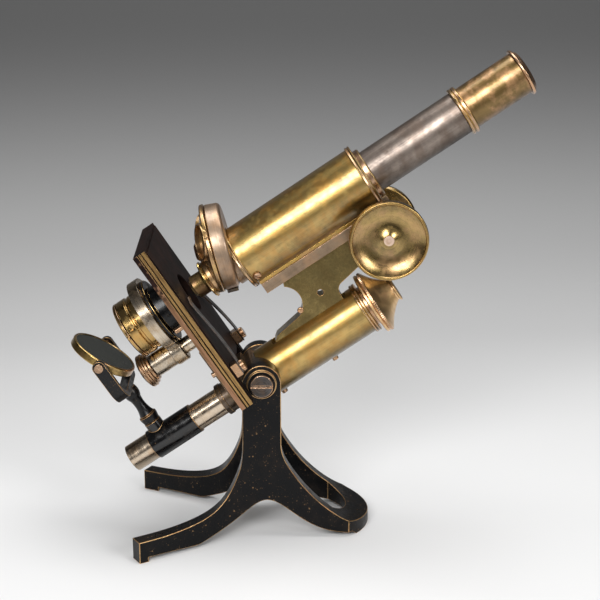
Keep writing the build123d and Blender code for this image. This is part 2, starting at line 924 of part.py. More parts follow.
# Nosepiece: turned about an axis that leans from the tube and meets the optical axis inside the body
tilt = radians(nose_tilt)
nose_up = Vector(sin(tilt), 0, cos(tilt))
nose_meet = Vector(optical_x, 0, nose_meet_z)
nose_plane = Plane(
    origin=nose_meet - nose_up * nose_drop,
    x_dir=(cos(tilt), 0, -sin(tilt)),
    z_dir=(0, -1, 0),
)
nose_axis = Axis(nose_plane.origin, nose_up)
seat_radius = (nose_meet_z - objective_seat_z) * sin(tilt)
seat_height = nose_drop - (nose_meet_z - objective_seat_z) * cos(tilt)


def shell_height(radius):
    """Height of the disc's conical underside, square to each objective's own axis."""
    return seat_height + port_collar_height + (radius - seat_radius) * tan(tilt)


with BuildPart() as nosepiece_disc:
    shell_edge = seat_radius - (disc_rim + seat_height + port_collar_height) / tan(tilt)
    turn(
        [
            (pivot_radius + running, 0),
            (disc_radius - 0.5, 0),
            (disc_radius, -0.5),
            (disc_radius, -disc_rim + 0.6),
            (disc_radius - 0.6, -disc_rim),
            (shell_edge, -disc_rim),
            (pivot_head_radius + 3, shell_height(pivot_head_radius + 3)),
            (pivot_head_radius + 1, -disc_hub_drop),
            (pivot_radius + running, -disc_hub_drop),
        ],
        nose_plane,
    )
    for port in range(port_count):
        with BuildPart(mode=Mode.PRIVATE) as collar:
            ring(
                0,
                port_collar_radius,
                objective_seat_z,
                objective_seat_z + port_collar_height + 1.2,
                optical_axis,
            )
        add(collar.part.rotate(nose_axis, 360 / port_count * port))
    for port in range(port_count):
        with BuildPart(mode=Mode.PRIVATE) as bore_tool:
            ring(0, port_radius, objective_seat_z - 5, objective_seat_z + port_thread, optical_axis)
            ring(0, light_bore, objective_seat_z, nose_meet_z / 2, optical_axis)
        add(bore_tool.part.rotate(nose_axis, 360 / port_count * port), mode=Mode.SUBTRACT)

with BuildPart() as nosepiece_cover:
    with BuildSketch(nose_plane):
        with BuildLine():
            Polyline(
                (0, cover_gap),
                (cover_radius - 0.4, cover_gap),
                (cover_radius, cover_gap + 0.4),
                (cover_radius - 0.5, cover_band),
            )
            ThreePointArc(
                (cover_radius - 0.5, cover_band),
                (cover_radius - 1.3, cover_height - 0.6),
                (cover_radius - 3.6, cover_height),
            )
            Polyline((cover_radius - 3.6, cover_height), (0, cover_height), (0, cover_gap))
        make_face()
    revolve(axis=nose_axis)
    ring(0, body_ring_radius + passing, body_low, body_high, optical_axis, mode=Mode.SUBTRACT)
    ring(0, neck_radius, body_low - neck_height, body_low, optical_axis)
    ring(0, body_bore - seating, body_low, body_low + body_ring_height, optical_axis)
    ring(0, light_bore, 0, body_low + body_ring_height, optical_axis, mode=Mode.SUBTRACT)
    ring(0, pivot_radius + seating, cover_gap, cover_height - 2, nose_plane, mode=Mode.SUBTRACT)

with BuildPart() as nosepiece_pivot:
    head_low = -disc_hub_drop - running - 2.0
    turn(
        [
            (0, head_low),
            (pivot_head_radius - 1.4, head_low),
            (pivot_head_radius, head_low + 1.4),
            (pivot_head_radius, -disc_hub_drop - running),
            (pivot_radius, -disc_hub_drop - running),
            (pivot_radius, cover_height - 2),
            (0, cover_height - 2),
        ],
        nose_plane,
    )

with BuildPart() as nosepiece_catch:
    catch_place = nose_plane.location * Location((cover_radius + 0.9, (cover_gap + cover_band) / 2 + 0.4, 0))
    with Locations(catch_place):
        Box(2.0, cover_band - cover_gap - 0.4, 8.0)
    ring(0, cover_radius + seating, cover_gap, cover_height, nose_plane, mode=Mode.SUBTRACT)

thread_top = objective_seat_z + port_thread - passing

with BuildPart() as objective_collar:
    ring_low = objective_seat_z - objective_ring_height
    turn(
        [
            (objective_body_radius, ring_low),
            (objective_ring_radius - 0.5, ring_low),
            (objective_ring_radius, ring_low + 0.5),
            (objective_ring_radius, objective_seat_z - 1.4),
            (objective_ring_radius - 0.9, objective_seat_z - 1.0),
            (objective_ring_radius - 0.6, objective_seat_z),
            (port_radius - seating, objective_seat_z),
            (port_radius - seating, thread_top),
            (objective_body_radius, thread_top),
        ],
        optical_axis,
    )

with BuildPart() as objective_barrel:
    body_edge = objective_tip_z + 1.6
    lens_top = objective_tip_z + 0.3 + front_lens_height
    with BuildSketch(optical_axis):
        with BuildLine():
            Polyline(
                (front_lens_radius + seating, objective_tip_z),
                (objective_tip_radius, objective_tip_z),
                (objective_tip_radius + 0.3, body_edge - 0.6),
                (objective_body_radius - 0.4, body_edge),
                (objective_body_radius - 0.4, ring_low - 1.6),
            )
            ThreePointArc(
                (objective_body_radius - 0.4, ring_low - 1.6),
                (objective_body_radius + 0.3, ring_low - 0.5),
                (objective_body_radius + 2.0, ring_low),
            )
            Polyline(
                (objective_body_radius + 2.0, ring_low),
                (objective_body_radius - seating, ring_low),
                (objective_body_radius - seating, thread_top),
                (light_bore - 2, thread_top),
                (light_bore - 2, ring_low),
                (front_lens_radius - 0.6, lens_top),
                (front_lens_radius + seating, lens_top),
                (front_lens_radius + seating, objective_tip_z),
            )
        make_face()
    revolve(axis=Axis(optical_axis.origin, optical_axis.y_dir))

with BuildPart() as objective_lens:
    ring(0, front_lens_radius, objective_tip_z + 0.3, lens_top, optical_axis)

# Draw tube and eyepiece
with BuildPart() as draw_tube:
    ring(draw_bore, draw_radius, draw_low, draw_high, optical_axis)

with BuildPart() as draw_ring:
    ring_top = draw_high + draw_ring_height
    turn(
        [
            (draw_bore, draw_high),
            (draw_ring_radius - 0.5, draw_high),
            (draw_ring_radius, draw_high + 0.5),
            (draw_ring_radius, draw_high + 1.6),
            (draw_ring_radius - 0.6, draw_high + 2.0),
            (draw_ring_radius, draw_high + 2.4),
            (draw_ring_radius, ring_top - 0.5),
            (draw_ring_radius - 0.5, ring_top),
            (draw_bore, ring_top),
        ],
        optical_axis,
    )

field_lens_low = eyepiece_low + 1.0

with BuildPart() as eyepiece_barrel:
    turn(
        [
            (barrel_radius - eyepiece_wall, eyepiece_low),
            (barrel_radius, eyepiece_low),
            (barrel_radius, ring_top),
            (eyepiece_radius, ring_top),
            (eyepiece_radius, eyepiece_high),
            (eye_lens_radius, eyepiece_high),
            (eye_lens_radius, eyepiece_high - 2.0),
            (barrel_radius - eyepiece_wall, eyepiece_high - 4.0),
        ],
        optical_axis,
    )

with BuildPart() as eyepiece_cap:
    with BuildSketch(optical_axis):
        with BuildLine():
            cap_top = eyepiece_high + cap_height
            Polyline(
                (eye_lens_radius + seating, eyepiece_high),
                (cap_radius - 0.4, eyepiece_high),
                (cap_radius, eyepiece_high + 0.4),
                (cap_radius, eyepiece_high + 1.4),
                (cap_radius - 0.6, eyepiece_high + 1.9),
                (cap_radius - 1.6, eyepiece_high + 2.2),
            )
            ThreePointArc(
                (cap_radius - 1.6, eyepiece_high + 2.2),
                (cap_radius - 3.4, cap_top - 0.5),
                (cap_radius - 6, cap_top),
            )
            Polyline(
                (cap_radius - 6, cap_top),
                (cap_hole + 2.2, cap_top),
                (cap_hole, cap_top - 1.4),
                (cap_hole, eyepiece_high + lens_edge),
                (eye_lens_radius + seating, eyepiece_high + lens_edge),
                (eye_lens_radius + seating, eyepiece_high),
            )
        make_face()
    revolve(axis=Axis(optical_axis.origin, optical_axis.y_dir))


def lens(radius, low, rise):
    """Flat-backed lens with a domed top."""
    with BuildSketch(optical_axis) as section:
        with BuildLine():
            Polyline((0, low), (radius, low), (radius, low + lens_edge))
            bulge = (radius * radius + rise * rise) / (2 * rise)
            middle = (radius / 2, low + lens_edge + rise - bulge + sqrt(bulge * bulge - radius * radius / 4))
            ThreePointArc((radius, low + lens_edge), middle, (0, low + lens_edge + rise))
            Line((0, low + lens_edge + rise), (0, low))
        make_face()
    revolve(section.sketch, axis=Axis(optical_axis.origin, optical_axis.y_dir))


with BuildPart() as eye_lens:
    ring(0, eye_lens_radius - seating, eyepiece_high - 1.0, eyepiece_high + lens_edge - 0.4, optical_axis)

with BuildPart() as field_lens:
    lens(barrel_radius - eyepiece_wall - seating, field_lens_low, 1.4)

# Substage: post under the stage, knob at its lower end, carrier that slides on it
post_axis = upright_axis(post_x)

with BuildPart() as substage_post:
    ring(lead_screw_radius + running, post_radius, knob_high, lead_screw_high, post_axis)
    ring(0, post_radius, lead_screw_high, stage_low_z, post_axis)

with BuildPart() as substage_knob:
    rim = substage_knob_radius
    turn(
        [
            (0, knob_low),
            (rim - 2.6, knob_low),
            (rim - 1.6, knob_low + 0.8),
            (rim - 0.4, knob_low + 1.0),
            (rim, knob_low + 1.5),
            (rim, knob_low + 2.4),
            (rim - 0.7, knob_low + 2.8),
            (rim, knob_low + 3.2),
            (rim, knob_low + 4.1),
            (rim - 0.9, knob_low + 4.5),
            (rim - 0.9, knob_low + 5.6),
            (rim - 1.9, knob_low + 6.0),
            (rim - 2.4, knob_high - passing / 2),
            (lead_screw_radius, knob_high - passing / 2),
            (lead_screw_radius, lead_screw_high - passing),
            (0, lead_screw_high - passing),
        ],
        post_axis,
    )

with BuildPart() as substage_carrier:
    ring(0, carrier_radius, carrier_low, carrier_high, optical_axis)
    turn(
        [
            (post_radius / 2, sleeve_low),
            (sleeve_radius, sleeve_low),
            (sleeve_radius, carrier_low - 1.6),
            (sleeve_radius + 0.8, carrier_low - 1.2),
            (sleeve_radius + 0.8, sleeve_high - 0.6),
            (sleeve_radius, sleeve_high),
            (post_radius / 2, sleeve_high),
        ],
        post_axis,
    )
    ring(0, carrier_bore, carrier_low, carrier_high, optical_axis, mode=Mode.SUBTRACT)
    ring(0, drum_radius + passing, sleeve_low, carrier_low, optical_axis, mode=Mode.SUBTRACT)
    ring(0, post_radius + running, sleeve_low, sleeve_high, post_axis, mode=Mode.SUBTRACT)

with BuildPart() as condenser_cell:
    turn(
        [
            (condenser_bore, carrier_low),
            (carrier_bore - seating, carrier_low),
            (carrier_bore - seating, carrier_high),
            (cell_flange_radius, carrier_high),
            (cell_flange_radius, carrier_high + cell_flange_height - 0.5),
            (cell_flange_radius - 0.5, carrier_high + cell_flange_height),
            (cell_barrel_radius, carrier_high + cell_flange_height),
            (cell_barrel_radius - 1.2, cell_top),
            (condenser_bore - 3, cell_top),
            (condenser_bore - 3, cell_top - 1.0),
            (condenser_bore, cell_top - 1.0),
        ],
        optical_axis,
    )

with BuildPart() as condenser_drum:
    turn(
        [
            (condenser_bore, drum_low),
            (drum_radius - 0.3, drum_low),
            (drum_radius, drum_low + 0.3),
            (drum_radius, drum_low + 5.4),
            (drum_radius - 0.9, drum_low + 6.0),
            (drum_radius - 0.9, drum_low + 7.2),
            (drum_radius - 0.3, drum_low + 7.6),
            (drum_radius - 0.3, carrier_low),
            (condenser_bore, carrier_low),
        ],
        optical_axis,
    )
    cross_rod(1.5, -drum_radius - 1, -drum_radius + 2.5, x=optical_x - 4, z=drum_low + 3.4, mode=Mode.SUBTRACT)

with BuildPart() as condenser_top_lens:
    lens(condenser_bore - seating, cell_top - 6.4, 3.0)

with BuildPart() as iris_ring:
    turn(
        [
            (condenser_bore - 4, iris_low),
            (drum_radius - 0.6, iris_low),
            (drum_radius, iris_low + 0.6),
            (drum_radius, drum_low - 0.5),
            (drum_radius - 0.5, drum_low - passing),
            (condenser_bore - 4, drum_low - passing),
        ],
        optical_axis,
    )
    iris_mid = (iris_low + drum_low) / 2
    cross_rod(iris_screw_radius, -drum_radius - 1.4, -drum_radius + 1, x=optical_x, z=iris_mid)

# Mirror: sleeve on the tail, stem that turns in the sleeve's boss, fork and two-sided mirror
stem_section = Plane(origin=(column_x, 0, stem_z), x_dir=(0, 0, 1), z_dir=(0, -1, 0))
sleeve_bore = tail_radius + running
sleeve_outer = sleeve_bore + sleeve_wall
spigot_root = sleeve_bore + 0.6

with BuildPart() as mirror_sleeve:
    ring(0, sleeve_outer, mirror_sleeve_low, mirror_sleeve_high, column_axis)
    ring(0, stem_boss_radius, 0, stem_boss_end, stem_section)
    ring(0, sleeve_bore, mirror_sleeve_low, mirror_sleeve_high, column_axis, mode=Mode.SUBTRACT)
    ring(0, stem_spigot_radius + running, spigot_root, stem_boss_end, stem_section, mode=Mode.SUBTRACT)

fork_outer = fork_inner + fork_arm

with BuildPart() as mirror_fork:
    flare = stem_boss_end + passing
    with BuildSketch(stem_section):
        with BuildLine():
            Polyline(
                (0, spigot_root + 0.1),
                (stem_spigot_radius, spigot_root + 0.1),
                (stem_spigot_radius, flare),
                (stem_boss_radius - 0.3, flare),
                (stem_boss_radius + 0.3, flare + 3.2),
                (stem_boss_radius + 0.3, flare + 4.6),
                (stem_boss_radius - 0.6, flare + 5.2),
            )
            ThreePointArc(
                (stem_boss_radius - 0.6, flare + 5.2),
                (3.4, flare + 10.5),
                (3.7, flare + 17),
            )
            ThreePointArc((3.7, flare + 17), (4.9, flare + 21.5), (4.4, fork_base))
            Polyline((4.4, fork_base), (0, fork_base), (0, spigot_root + 0.1))
        make_face()
    revolve(axis=Axis(stem_section.origin, stem_section.y_dir))

    with BuildSketch(Plane.XY.offset(stem_z - fork_half_height)):
        with BuildLine():
            back_x = column_x - fork_base
            inner_x = back_x - fork_bar
            tip_x = column_x - fork_tip
            outer_bend_radius = 9.0
            inner_bend_radius = outer_bend_radius - fork_arm
            bar_end = (back_x, fork_outer - outer_bend_radius)
            arm_start = (back_x - outer_bend_radius, fork_outer)
            Line((back_x, 0), bar_end)
            TangentArc(bar_end, arm_start, tangent=(0, 1))
            Line(arm_start, (tip_x, fork_outer))
            Line((tip_x, fork_outer), (tip_x, fork_inner))
            Line((tip_x, fork_inner), (inner_x - inner_bend_radius, fork_inner))
            TangentArc(
                (inner_x - inner_bend_radius, fork_inner),
                (inner_x, fork_inner - inner_bend_radius),
                tangent=(1, 0),
            )
            Line((inner_x, fork_inner - inner_bend_radius), (inner_x, 0))
            Line((inner_x, 0), (back_x, 0))
        make_face()
        mirror(about=Plane.XZ)
    extrude(amount=2 * fork_half_height)
    tip_edges = mirror_fork.edges().filter_by(Axis.Y).group_by(Axis.X)[0]
    fillet(tip_edges, fork_half_height - 0.1)
    cross_rod(
        fork_pin_radius + seating,
        -fork_outer,
        fork_outer,
        x=column_x - mirror_reach,
        z=stem_z,
        mode=Mode.SUBTRACT,
    )

with BuildPart() as fork_pins:
    for side in (-1, 1):
        pin_x = column_x - mirror_reach
        cross_rod(fork_pin_radius, *side_span(side, mirror_radius - 1.2, fork_outer), x=pin_x, z=stem_z)
        cross_rod(fork_pin_head, *side_span(side, fork_outer, fork_outer + 1.2), x=pin_x, z=stem_z)

mirror_lean = radians(mirror_tilt)
mirror_plane = Plane(
    origin=(column_x - mirror_reach, 0, stem_z),
    x_dir=(cos(mirror_lean), 0, sin(mirror_lean)),
    z_dir=(0, -1, 0),
)
backing = mirror_half_height - glass_height - 0.4

with BuildPart() as mirror_cell:
    turn(
        [
            (0, -backing),
            (glass_radius, -backing),
            (glass_radius, -mirror_half_height),
            (mirror_radius - 0.5, -mirror_half_height),
            (mirror_radius, -mirror_half_height + 0.5),
            (mirror_radius, mirror_half_height - 0.5),
            (mirror_radius - 0.5, mirror_half_height),
            (glass_radius, mirror_half_height),
            (glass_radius, backing),
            (0, backing),
        ],
        mirror_plane,
    )
    cross_rod(
        fork_pin_radius + running,
        -mirror_radius - 1,
        mirror_radius + 1,
        x=column_x - mirror_reach,
        z=stem_z,
        mode=Mode.SUBTRACT,
    )
    ring(0, glass_radius - 0.6, -backing, backing, mirror_plane)

with BuildPart() as plane_glass:
    ring(0, glass_radius - seating, backing, backing + glass_height, mirror_plane)

rim_glass = glass_radius - seating
hollow = -backing - glass_height + hollow_depth
hollow_radius = (rim_glass**2 + hollow_depth**2) / (2 * hollow_depth)

with BuildPart() as concave_glass:
    with BuildSketch(mirror_plane):
        with BuildLine():
            Polyline((0, -backing), (rim_glass, -backing), (rim_glass, -backing - glass_height))
            ThreePointArc(
                (rim_glass, -backing - glass_height),
                (rim_glass / 2, hollow - hollow_radius + sqrt(hollow_radius**2 - rim_glass**2 / 4)),
                (0, hollow),
            )
            Line((0, hollow), (0, -backing))
        make_face()
    revolve(axis=Axis(mirror_plane.origin, mirror_plane.y_dir))

# Everything is placed, then shifted so that the origin is under the middle of its box on the floor
stand_pieces = {
    "foot_casting": foot_casting,
    "trunnion_screws": trunnion_screws,
}
limb_pieces = {
    "limb_joint": limb_joint,
    "column_tube": column_tube,
    "column_screws": column_screws,
    "column_ring": column_ring,
    "tail_flange": tail_flange,
    "tail_tube": tail_tube,
    "stage_plate": stage_plate,
    "stage_top": stage_top,
    "stage_facing": stage_facing,
    "stage_pins": stage_pins,
    "clip_near_pillar": clip_near_pillar,
    "clip_near_blade": clip_near_blade,
    "clip_far_pillar": clip_far_pillar,
    "clip_far_blade": clip_far_blade,
    "fine_screw": fine_screw,
    "fine_head": fine_head,
    "slide_core": slide_core,
    "arm_web": arm_web,
    "arm_screw": arm_screw,
    "guide_rails": guide_rails,
    "pinion_housing": pinion_housing,
    "pinion_shaft": pinion_shaft,
    "coarse_knob_near": coarse_knob_near,
    "coarse_knob_far": coarse_knob_far,
    "rack": rack,
    "body_tube": body_tube,
    "slide_bar": slide_bar,
    "body_lower_ring": body_lower_ring,
    "body_upper_ring": body_upper_ring,
    "draw_bush": draw_bush,
    "body_screw": body_screw,
    "nosepiece_disc": nosepiece_disc,
    "nosepiece_cover": nosepiece_cover,
    "nosepiece_pivot": nosepiece_pivot,
    "nosepiece_catch": nosepiece_catch,
    "objective_collar": objective_collar,
    "objective_barrel": objective_barrel,
    "objective_lens": objective_lens,
    "draw_tube": draw_tube,
    "draw_ring": draw_ring,
    "eyepiece_barrel": eyepiece_barrel,
    "eyepiece_cap": eyepiece_cap,
    "eye_lens": eye_lens,
    "field_lens": field_lens,
    "substage_post": substage_post,
    "substage_knob": substage_knob,
    "substage_carrier": substage_carrier,
    "condenser_cell": condenser_cell,
    "condenser_drum": condenser_drum,
    "condenser_top_lens": condenser_top_lens,
    "iris_ring": iris_ring,
    "mirror_sleeve": mirror_sleeve,
    "mirror_fork": mirror_fork,
    "fork_pins": fork_pins,
    "mirror_cell": mirror_cell,
    "plane_glass": plane_glass,
    "concave_glass": concave_glass,
}

limb_place = Pos(0, 0, pivot_height) * Rot(0, lean, 0)
placed = {name: piece.part for name, piece in stand_pieces.items()}
placed.update({name: piece.part.moved(limb_place) for name, piece in limb_pieces.items()})
whole = Compound(list(placed.values())).bounding_box()
frame_shift = Pos(-(whole.min.X + whole.max.X) / 2, -(whole.min.Y + whole.max.Y) / 2, -whole.min.Z)

os.makedirs("parts", exist_ok=True)
for name, part in placed.items():
    finished = part.moved(frame_shift)
    finished.label = name
    export_step(finished, f"parts/{name}.step")
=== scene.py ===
"""Brass and black japanned microscope: rounded edges, screws, milling and finishes round its CAD frame."""

import json
import logging
import math
from collections.abc import Callable
from dataclasses import dataclass
from enum import Enum
from typing import Any

import bmesh
import bpy
from bmesh.types import BMEdge, BMesh, BMVert
from mathutils import Matrix, Vector

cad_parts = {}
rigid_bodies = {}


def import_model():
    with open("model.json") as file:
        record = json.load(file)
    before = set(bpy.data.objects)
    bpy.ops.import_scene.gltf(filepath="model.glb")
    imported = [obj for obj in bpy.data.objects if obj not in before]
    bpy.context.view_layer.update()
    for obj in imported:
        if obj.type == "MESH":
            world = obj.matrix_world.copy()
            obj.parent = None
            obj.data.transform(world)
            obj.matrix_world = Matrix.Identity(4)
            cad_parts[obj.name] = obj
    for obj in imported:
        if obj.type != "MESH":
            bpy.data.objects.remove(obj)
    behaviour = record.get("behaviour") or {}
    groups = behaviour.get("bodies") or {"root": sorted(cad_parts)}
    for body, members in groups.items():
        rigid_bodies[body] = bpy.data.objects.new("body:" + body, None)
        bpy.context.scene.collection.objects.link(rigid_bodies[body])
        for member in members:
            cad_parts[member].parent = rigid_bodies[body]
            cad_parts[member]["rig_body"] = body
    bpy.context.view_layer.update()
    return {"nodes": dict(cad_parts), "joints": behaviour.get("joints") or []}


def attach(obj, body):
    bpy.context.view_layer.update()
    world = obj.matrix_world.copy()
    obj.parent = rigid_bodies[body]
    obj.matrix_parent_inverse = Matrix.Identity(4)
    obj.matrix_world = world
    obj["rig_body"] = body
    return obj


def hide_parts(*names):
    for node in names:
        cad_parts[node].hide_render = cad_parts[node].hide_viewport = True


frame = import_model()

LOG = logging.getLogger("microscope")

Colour = tuple[float, float, float]
Point = tuple[float, float, float]
Span = tuple[float, float]

MM = 0.001
WELD = 1.5e-6
FLAT = math.radians(0.4)
SHARP = math.radians(34.0)
EDGE_STEPS = 2
UP: Point = (0.0, 0.0, 1.0)


def joint(name: str) -> dict[str, Any]:
    """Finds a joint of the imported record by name."""
    return next(entry for entry in frame["joints"] if entry["name"] == name)


@dataclass(frozen=True)
class Seat:
    """A frame in millimetres whose Z axis is a piece's own axis.

    Attributes:
        origin: Where the frame sits, in metres.
        axis: The direction of its Z axis.
    """

    origin: Point
    axis: Point = UP

    def world(self) -> Matrix:
        """Gives the matrix from the seat's millimetres to the model's metres."""
        turn = Vector(UP).rotation_difference(Vector(self.axis)).to_matrix().to_4x4()
        return Matrix.Translation(self.origin) @ turn @ Matrix.Scale(MM, 4)

    def moved(self, x: float, y: float, z: float) -> "Seat":
        """Gives the same frame with its origin moved by millimetres along its own axes."""
        return Seat(tuple(self.world() @ Vector((x, y, z))), self.axis)

    def facing(self, place: Point, outward: Point) -> "Seat":
        """Gives a frame at a place in this one, with its Z axis along a direction of this one."""
        turned = (self.world().to_3x3() @ Vector(outward)).normalized()
        return Seat(tuple(self.world() @ Vector(place)), tuple(turned))


OPTICAL_X = -64.7
COLUMN_X = 2.6
MIRROR_LEAN = math.radians(26.0)
TUBE_AXIS: Point = tuple(joint("body_slide")["axis"])
CROSS_AXIS: Point = (0.0, 1.0, 0.0)

STAND = Seat((0.0, 0.0, 0.0))
LIMB = Seat(tuple(joint("lean")["pos_m"]), TUBE_AXIS)
TUBE = LIMB.moved(OPTICAL_X, 0.0, 0.0)
COLUMN = LIMB.moved(COLUMN_X, 0.0, 0.0)
HINGE = Seat(LIMB.origin, CROSS_AXIS)
KNOB = Seat(tuple(joint("coarse_turn")["pos_m"]), CROSS_AXIS)
NOSE = Seat(tuple(joint("nosepiece_turn")["pos_m"]), tuple(joint("nosepiece_turn")["axis"]))
LEAD = Seat(tuple(joint("substage_turn")["pos_m"]), TUBE_AXIS)
TAIL = Seat(tuple(joint("tail_swing")["pos_m"]), TUBE_AXIS)
LEAN = math.atan2(TUBE_AXIS[0], TUBE_AXIS[2])
MIRROR = Seat(
    tuple(joint("mirror_tilt")["pos_m"]),
    (math.sin(LEAN - MIRROR_LEAN), 0.0, math.cos(LEAN - MIRROR_LEAN)),
)


class Slot(Enum):
    """The record's material slots."""

    JAPAN = "japan"
    BRASS = "brass"
    BRONZE = "bronze"
    NICKEL = "nickel"
    STEEL = "steel"
    GLASS = "glass"
    SILVERED = "silvered"


class Grain(Enum):
    """How a metal surface was last worked."""

    DRAWN = "along the axis"
    TURNED = "round the axis"
    ROLLED = "every way"


@dataclass(frozen=True)
class Noise:
    """How a soft noise is made.

    Attributes:
        scale: Cycles in a millimetre.
        detail: How many finer layers it has.
        rough: How strong the finer layers are.
    """

    scale: float
    detail: float = 3.0
    rough: float = 0.55


class Wire:
    """A value socket that takes part in Python expressions."""

    def __init__(self, bench: "Bench", socket: bpy.types.NodeSocket) -> None:
        """Keeps the bench and the socket that carries the value."""
        self.bench = bench
        self.socket = socket

    def _math(self, operation: str, first: Any, second: Any) -> "Wire":
        """Adds one Math node and gives its result."""
        made = self.bench.node("ShaderNodeMath", {"operation": operation}, {0: first, 1: second})
        return self.bench.wire(made)

    def __add__(self, other: Any) -> "Wire":
        """Adds a value."""
        return self._math("ADD", self, other)

    def __sub__(self, other: Any) -> "Wire":
        """Takes a value away."""
        return self._math("SUBTRACT", self, other)

    def __rsub__(self, other: Any) -> "Wire":
        """Takes this value from another."""
        return self._math("SUBTRACT", other, self)

    def __mul__(self, other: Any) -> "Wire":
        """Multiplies by a value."""
        return self._math("MULTIPLY", self, other)

    def __abs__(self) -> "Wire":
        """Gives the size of the value without its sign."""
        return self._math("ABSOLUTE", self, 0.0)

    __radd__ = __add__

    def rise(self, low: float, high: float) -> "Wire":
        """Rises smoothly from 0 at low to 1 at high.

        Args:
            low: The value that gives 0.
            high: The value that gives 1.

        Returns:
            The eased and clamped value.
        """
        sockets = {"Value": self, "From Min": low, "From Max": high}
        made = self.bench.node("ShaderNodeMapRange", {"interpolation_type": "SMOOTHSTEP"}, sockets)
        return self.bench.wire(made)


class Bench:
    """One material's node tree and the ways to add to it."""

    def __init__(self, name: str) -> None:
        """Starts an empty node material.

        Args:
            name: The material's name.
        """
        self.material = bpy.data.materials.new(name)
        self.material.use_nodes = True
        self.tree = self.material.node_tree
        self.tree.nodes.clear()

    def node(self, kind: str, settings: dict[str, Any], sockets: dict[Any, Any]) -> bpy.types.Node:
        """Adds a node.

        Args:
            kind: The node's type.
            settings: Its own settings, set first.
            sockets: The values or links of its inputs, by name or number.

        Returns:
            The new node.
        """
        made = self.tree.nodes.new(kind)
        for key, value in settings.items():
            setattr(made, key, value)
        for key, value in sockets.items():
            if isinstance(value, Wire):
                self.tree.links.new(value.socket, made.inputs[key])
            else:
                made.inputs[key].default_value = value
        return made

    def wire(self, node: bpy.types.Node, output: Any = 0) -> Wire:
        """Wraps a node's output."""
        return Wire(self, node.outputs[output])

    def place(self, seat: Seat) -> Wire:
        """Reads the surface's place in a seat's millimetres.

        Args:
            seat: The frame to read it in.

        Returns:
            The place as a vector.
        """
        source = self.wire(self.node("ShaderNodeTexCoord", {}, {}), "Object")
        inward = seat.world().inverted()
        shift, turn, stretch = inward.decompose()
        made = self.node(
            "ShaderNodeMapping",
            {"vector_type": "POINT"},
            {"Vector": source, "Location": shift, "Rotation": turn.to_euler(), "Scale": stretch},
        )
        return self.wire(made)

    def split(self, vector: Wire) -> tuple[Wire, Wire, Wire]:
        """Gives a vector's three values."""
        made = self.node("ShaderNodeSeparateXYZ", {}, {0: vector})
        return self.wire(made, 0), self.wire(made, 1), self.wire(made, 2)

    def join(self, x: Any, y: Any, z: Any) -> Wire:
        """Makes a vector of three values."""
        return self.wire(self.node("ShaderNodeCombineXYZ", {}, {0: x, 1: y, 2: z}))

    def stretch(self, vector: Wire, by: Point) -> Wire:
        """Stretches a vector along its axes."""
        made = self.node("ShaderNodeVectorMath", {"operation": "MULTIPLY"}, {0: vector, 1: by})
        return self.wire(made)

    def radius(self, vector: Wire) -> Wire:
        """Gives the distance from the Z axis."""
        flat = self.stretch(vector, (1.0, 1.0, 0.0))
        return self.wire(self.node("ShaderNodeVectorMath", {"operation": "LENGTH"}, {0: flat}), "Value")

    def noise(self, vector: Wire, kind: Noise) -> Wire:
        """Gives soft noise from 0 to 1."""
        sockets = {"Vector": vector, "Scale": kind.scale, "Detail": kind.detail, "Roughness": kind.rough}
        return self.wire(self.node("ShaderNodeTexNoise", {}, sockets), "Fac")

    def dots(self, vector: Wire, scale: float, edge: Span, chance: Span) -> Wire:
        """Gives scattered dots, some of them fainter or missing.

        Args:
            vector: The place on the surface.
            scale: Cells in a millimetre.
            edge: Where a dot begins and ends to fade, in cells from its middle.
            chance: The random values between which a cell's dot comes up.

        Returns:
            The dots, 1 inside and 0 between them.
        """
        cells = self.node("ShaderNodeTexVoronoi", {"feature": "F1"}, {"Vector": vector, "Scale": scale})
        luck = self.wire(self.node("ShaderNodeSeparateColor", {}, {0: self.wire(cells, "Color")}))
        return (1.0 - self.wire(cells, "Distance").rise(*edge)) * luck.rise(*chance)

    def blend(self, share: Any, first: Any, second: Any) -> Wire:
        """Mixes two colours.

        Args:
            share: How much of the second colour shows.
            first: A colour or a link.
            second: A colour or a link.

        Returns:
            The mixed colour.
        """
        colours = [c if isinstance(c, Wire) else (*c, 1.0) for c in (first, second)]
        made = self.node("ShaderNodeMix", {"data_type": "RGBA"}, {0: share, 6: colours[0], 7: colours[1]})
        return self.wire(made, 2)

    def bump(self, height: Wire, depth: float) -> Wire:
        """Turns a height from 0 to 1 into a bumped normal, depth millimetres deep."""
        sockets = {"Height": height, "Distance": depth * MM, "Strength": 1.0}
        return self.wire(self.node("ShaderNodeBump", {}, sockets))

    def finish(self, sockets: dict[str, Any]) -> bpy.types.Material:
        """Ends the material in a Principled shader.

        Args:
            sockets: The shader's values and links.

        Returns:
            The finished material.
        """
        shader = self.wire(self.node("ShaderNodeBsdfPrincipled", {}, sockets))
        self.node("ShaderNodeOutputMaterial", {}, {"Surface": shader})
        return self.material


def shade(colour: Colour, by: float) -> Colour:
    """Gives a colour that is lighter or darker by a factor."""
    return tuple(min(1.0, part * by) for part in colour)


@dataclass(frozen=True)
class Finish:
    """A surface finish. Each kind paints its own material once.

    Attributes:
        name: The material's name.
        slot: The record's slot.
        seat: The frame of its pattern.
    """

    name: str
    slot: Slot
    seat: Seat

    def paint(self, bench: Bench) -> dict[str, Any]:
        """Builds the finish on a bench and gives the shader's inputs."""
        raise NotImplementedError

    def material(self) -> bpy.types.Material:
        """Gives the finish's material, painted the first time it is asked for.

        Returns:
            The material.
        """
        made = bpy.data.materials.get(self.name)
        if made is None:
            bench = Bench(self.name)
            made = bench.finish(self.paint(bench))
        return made


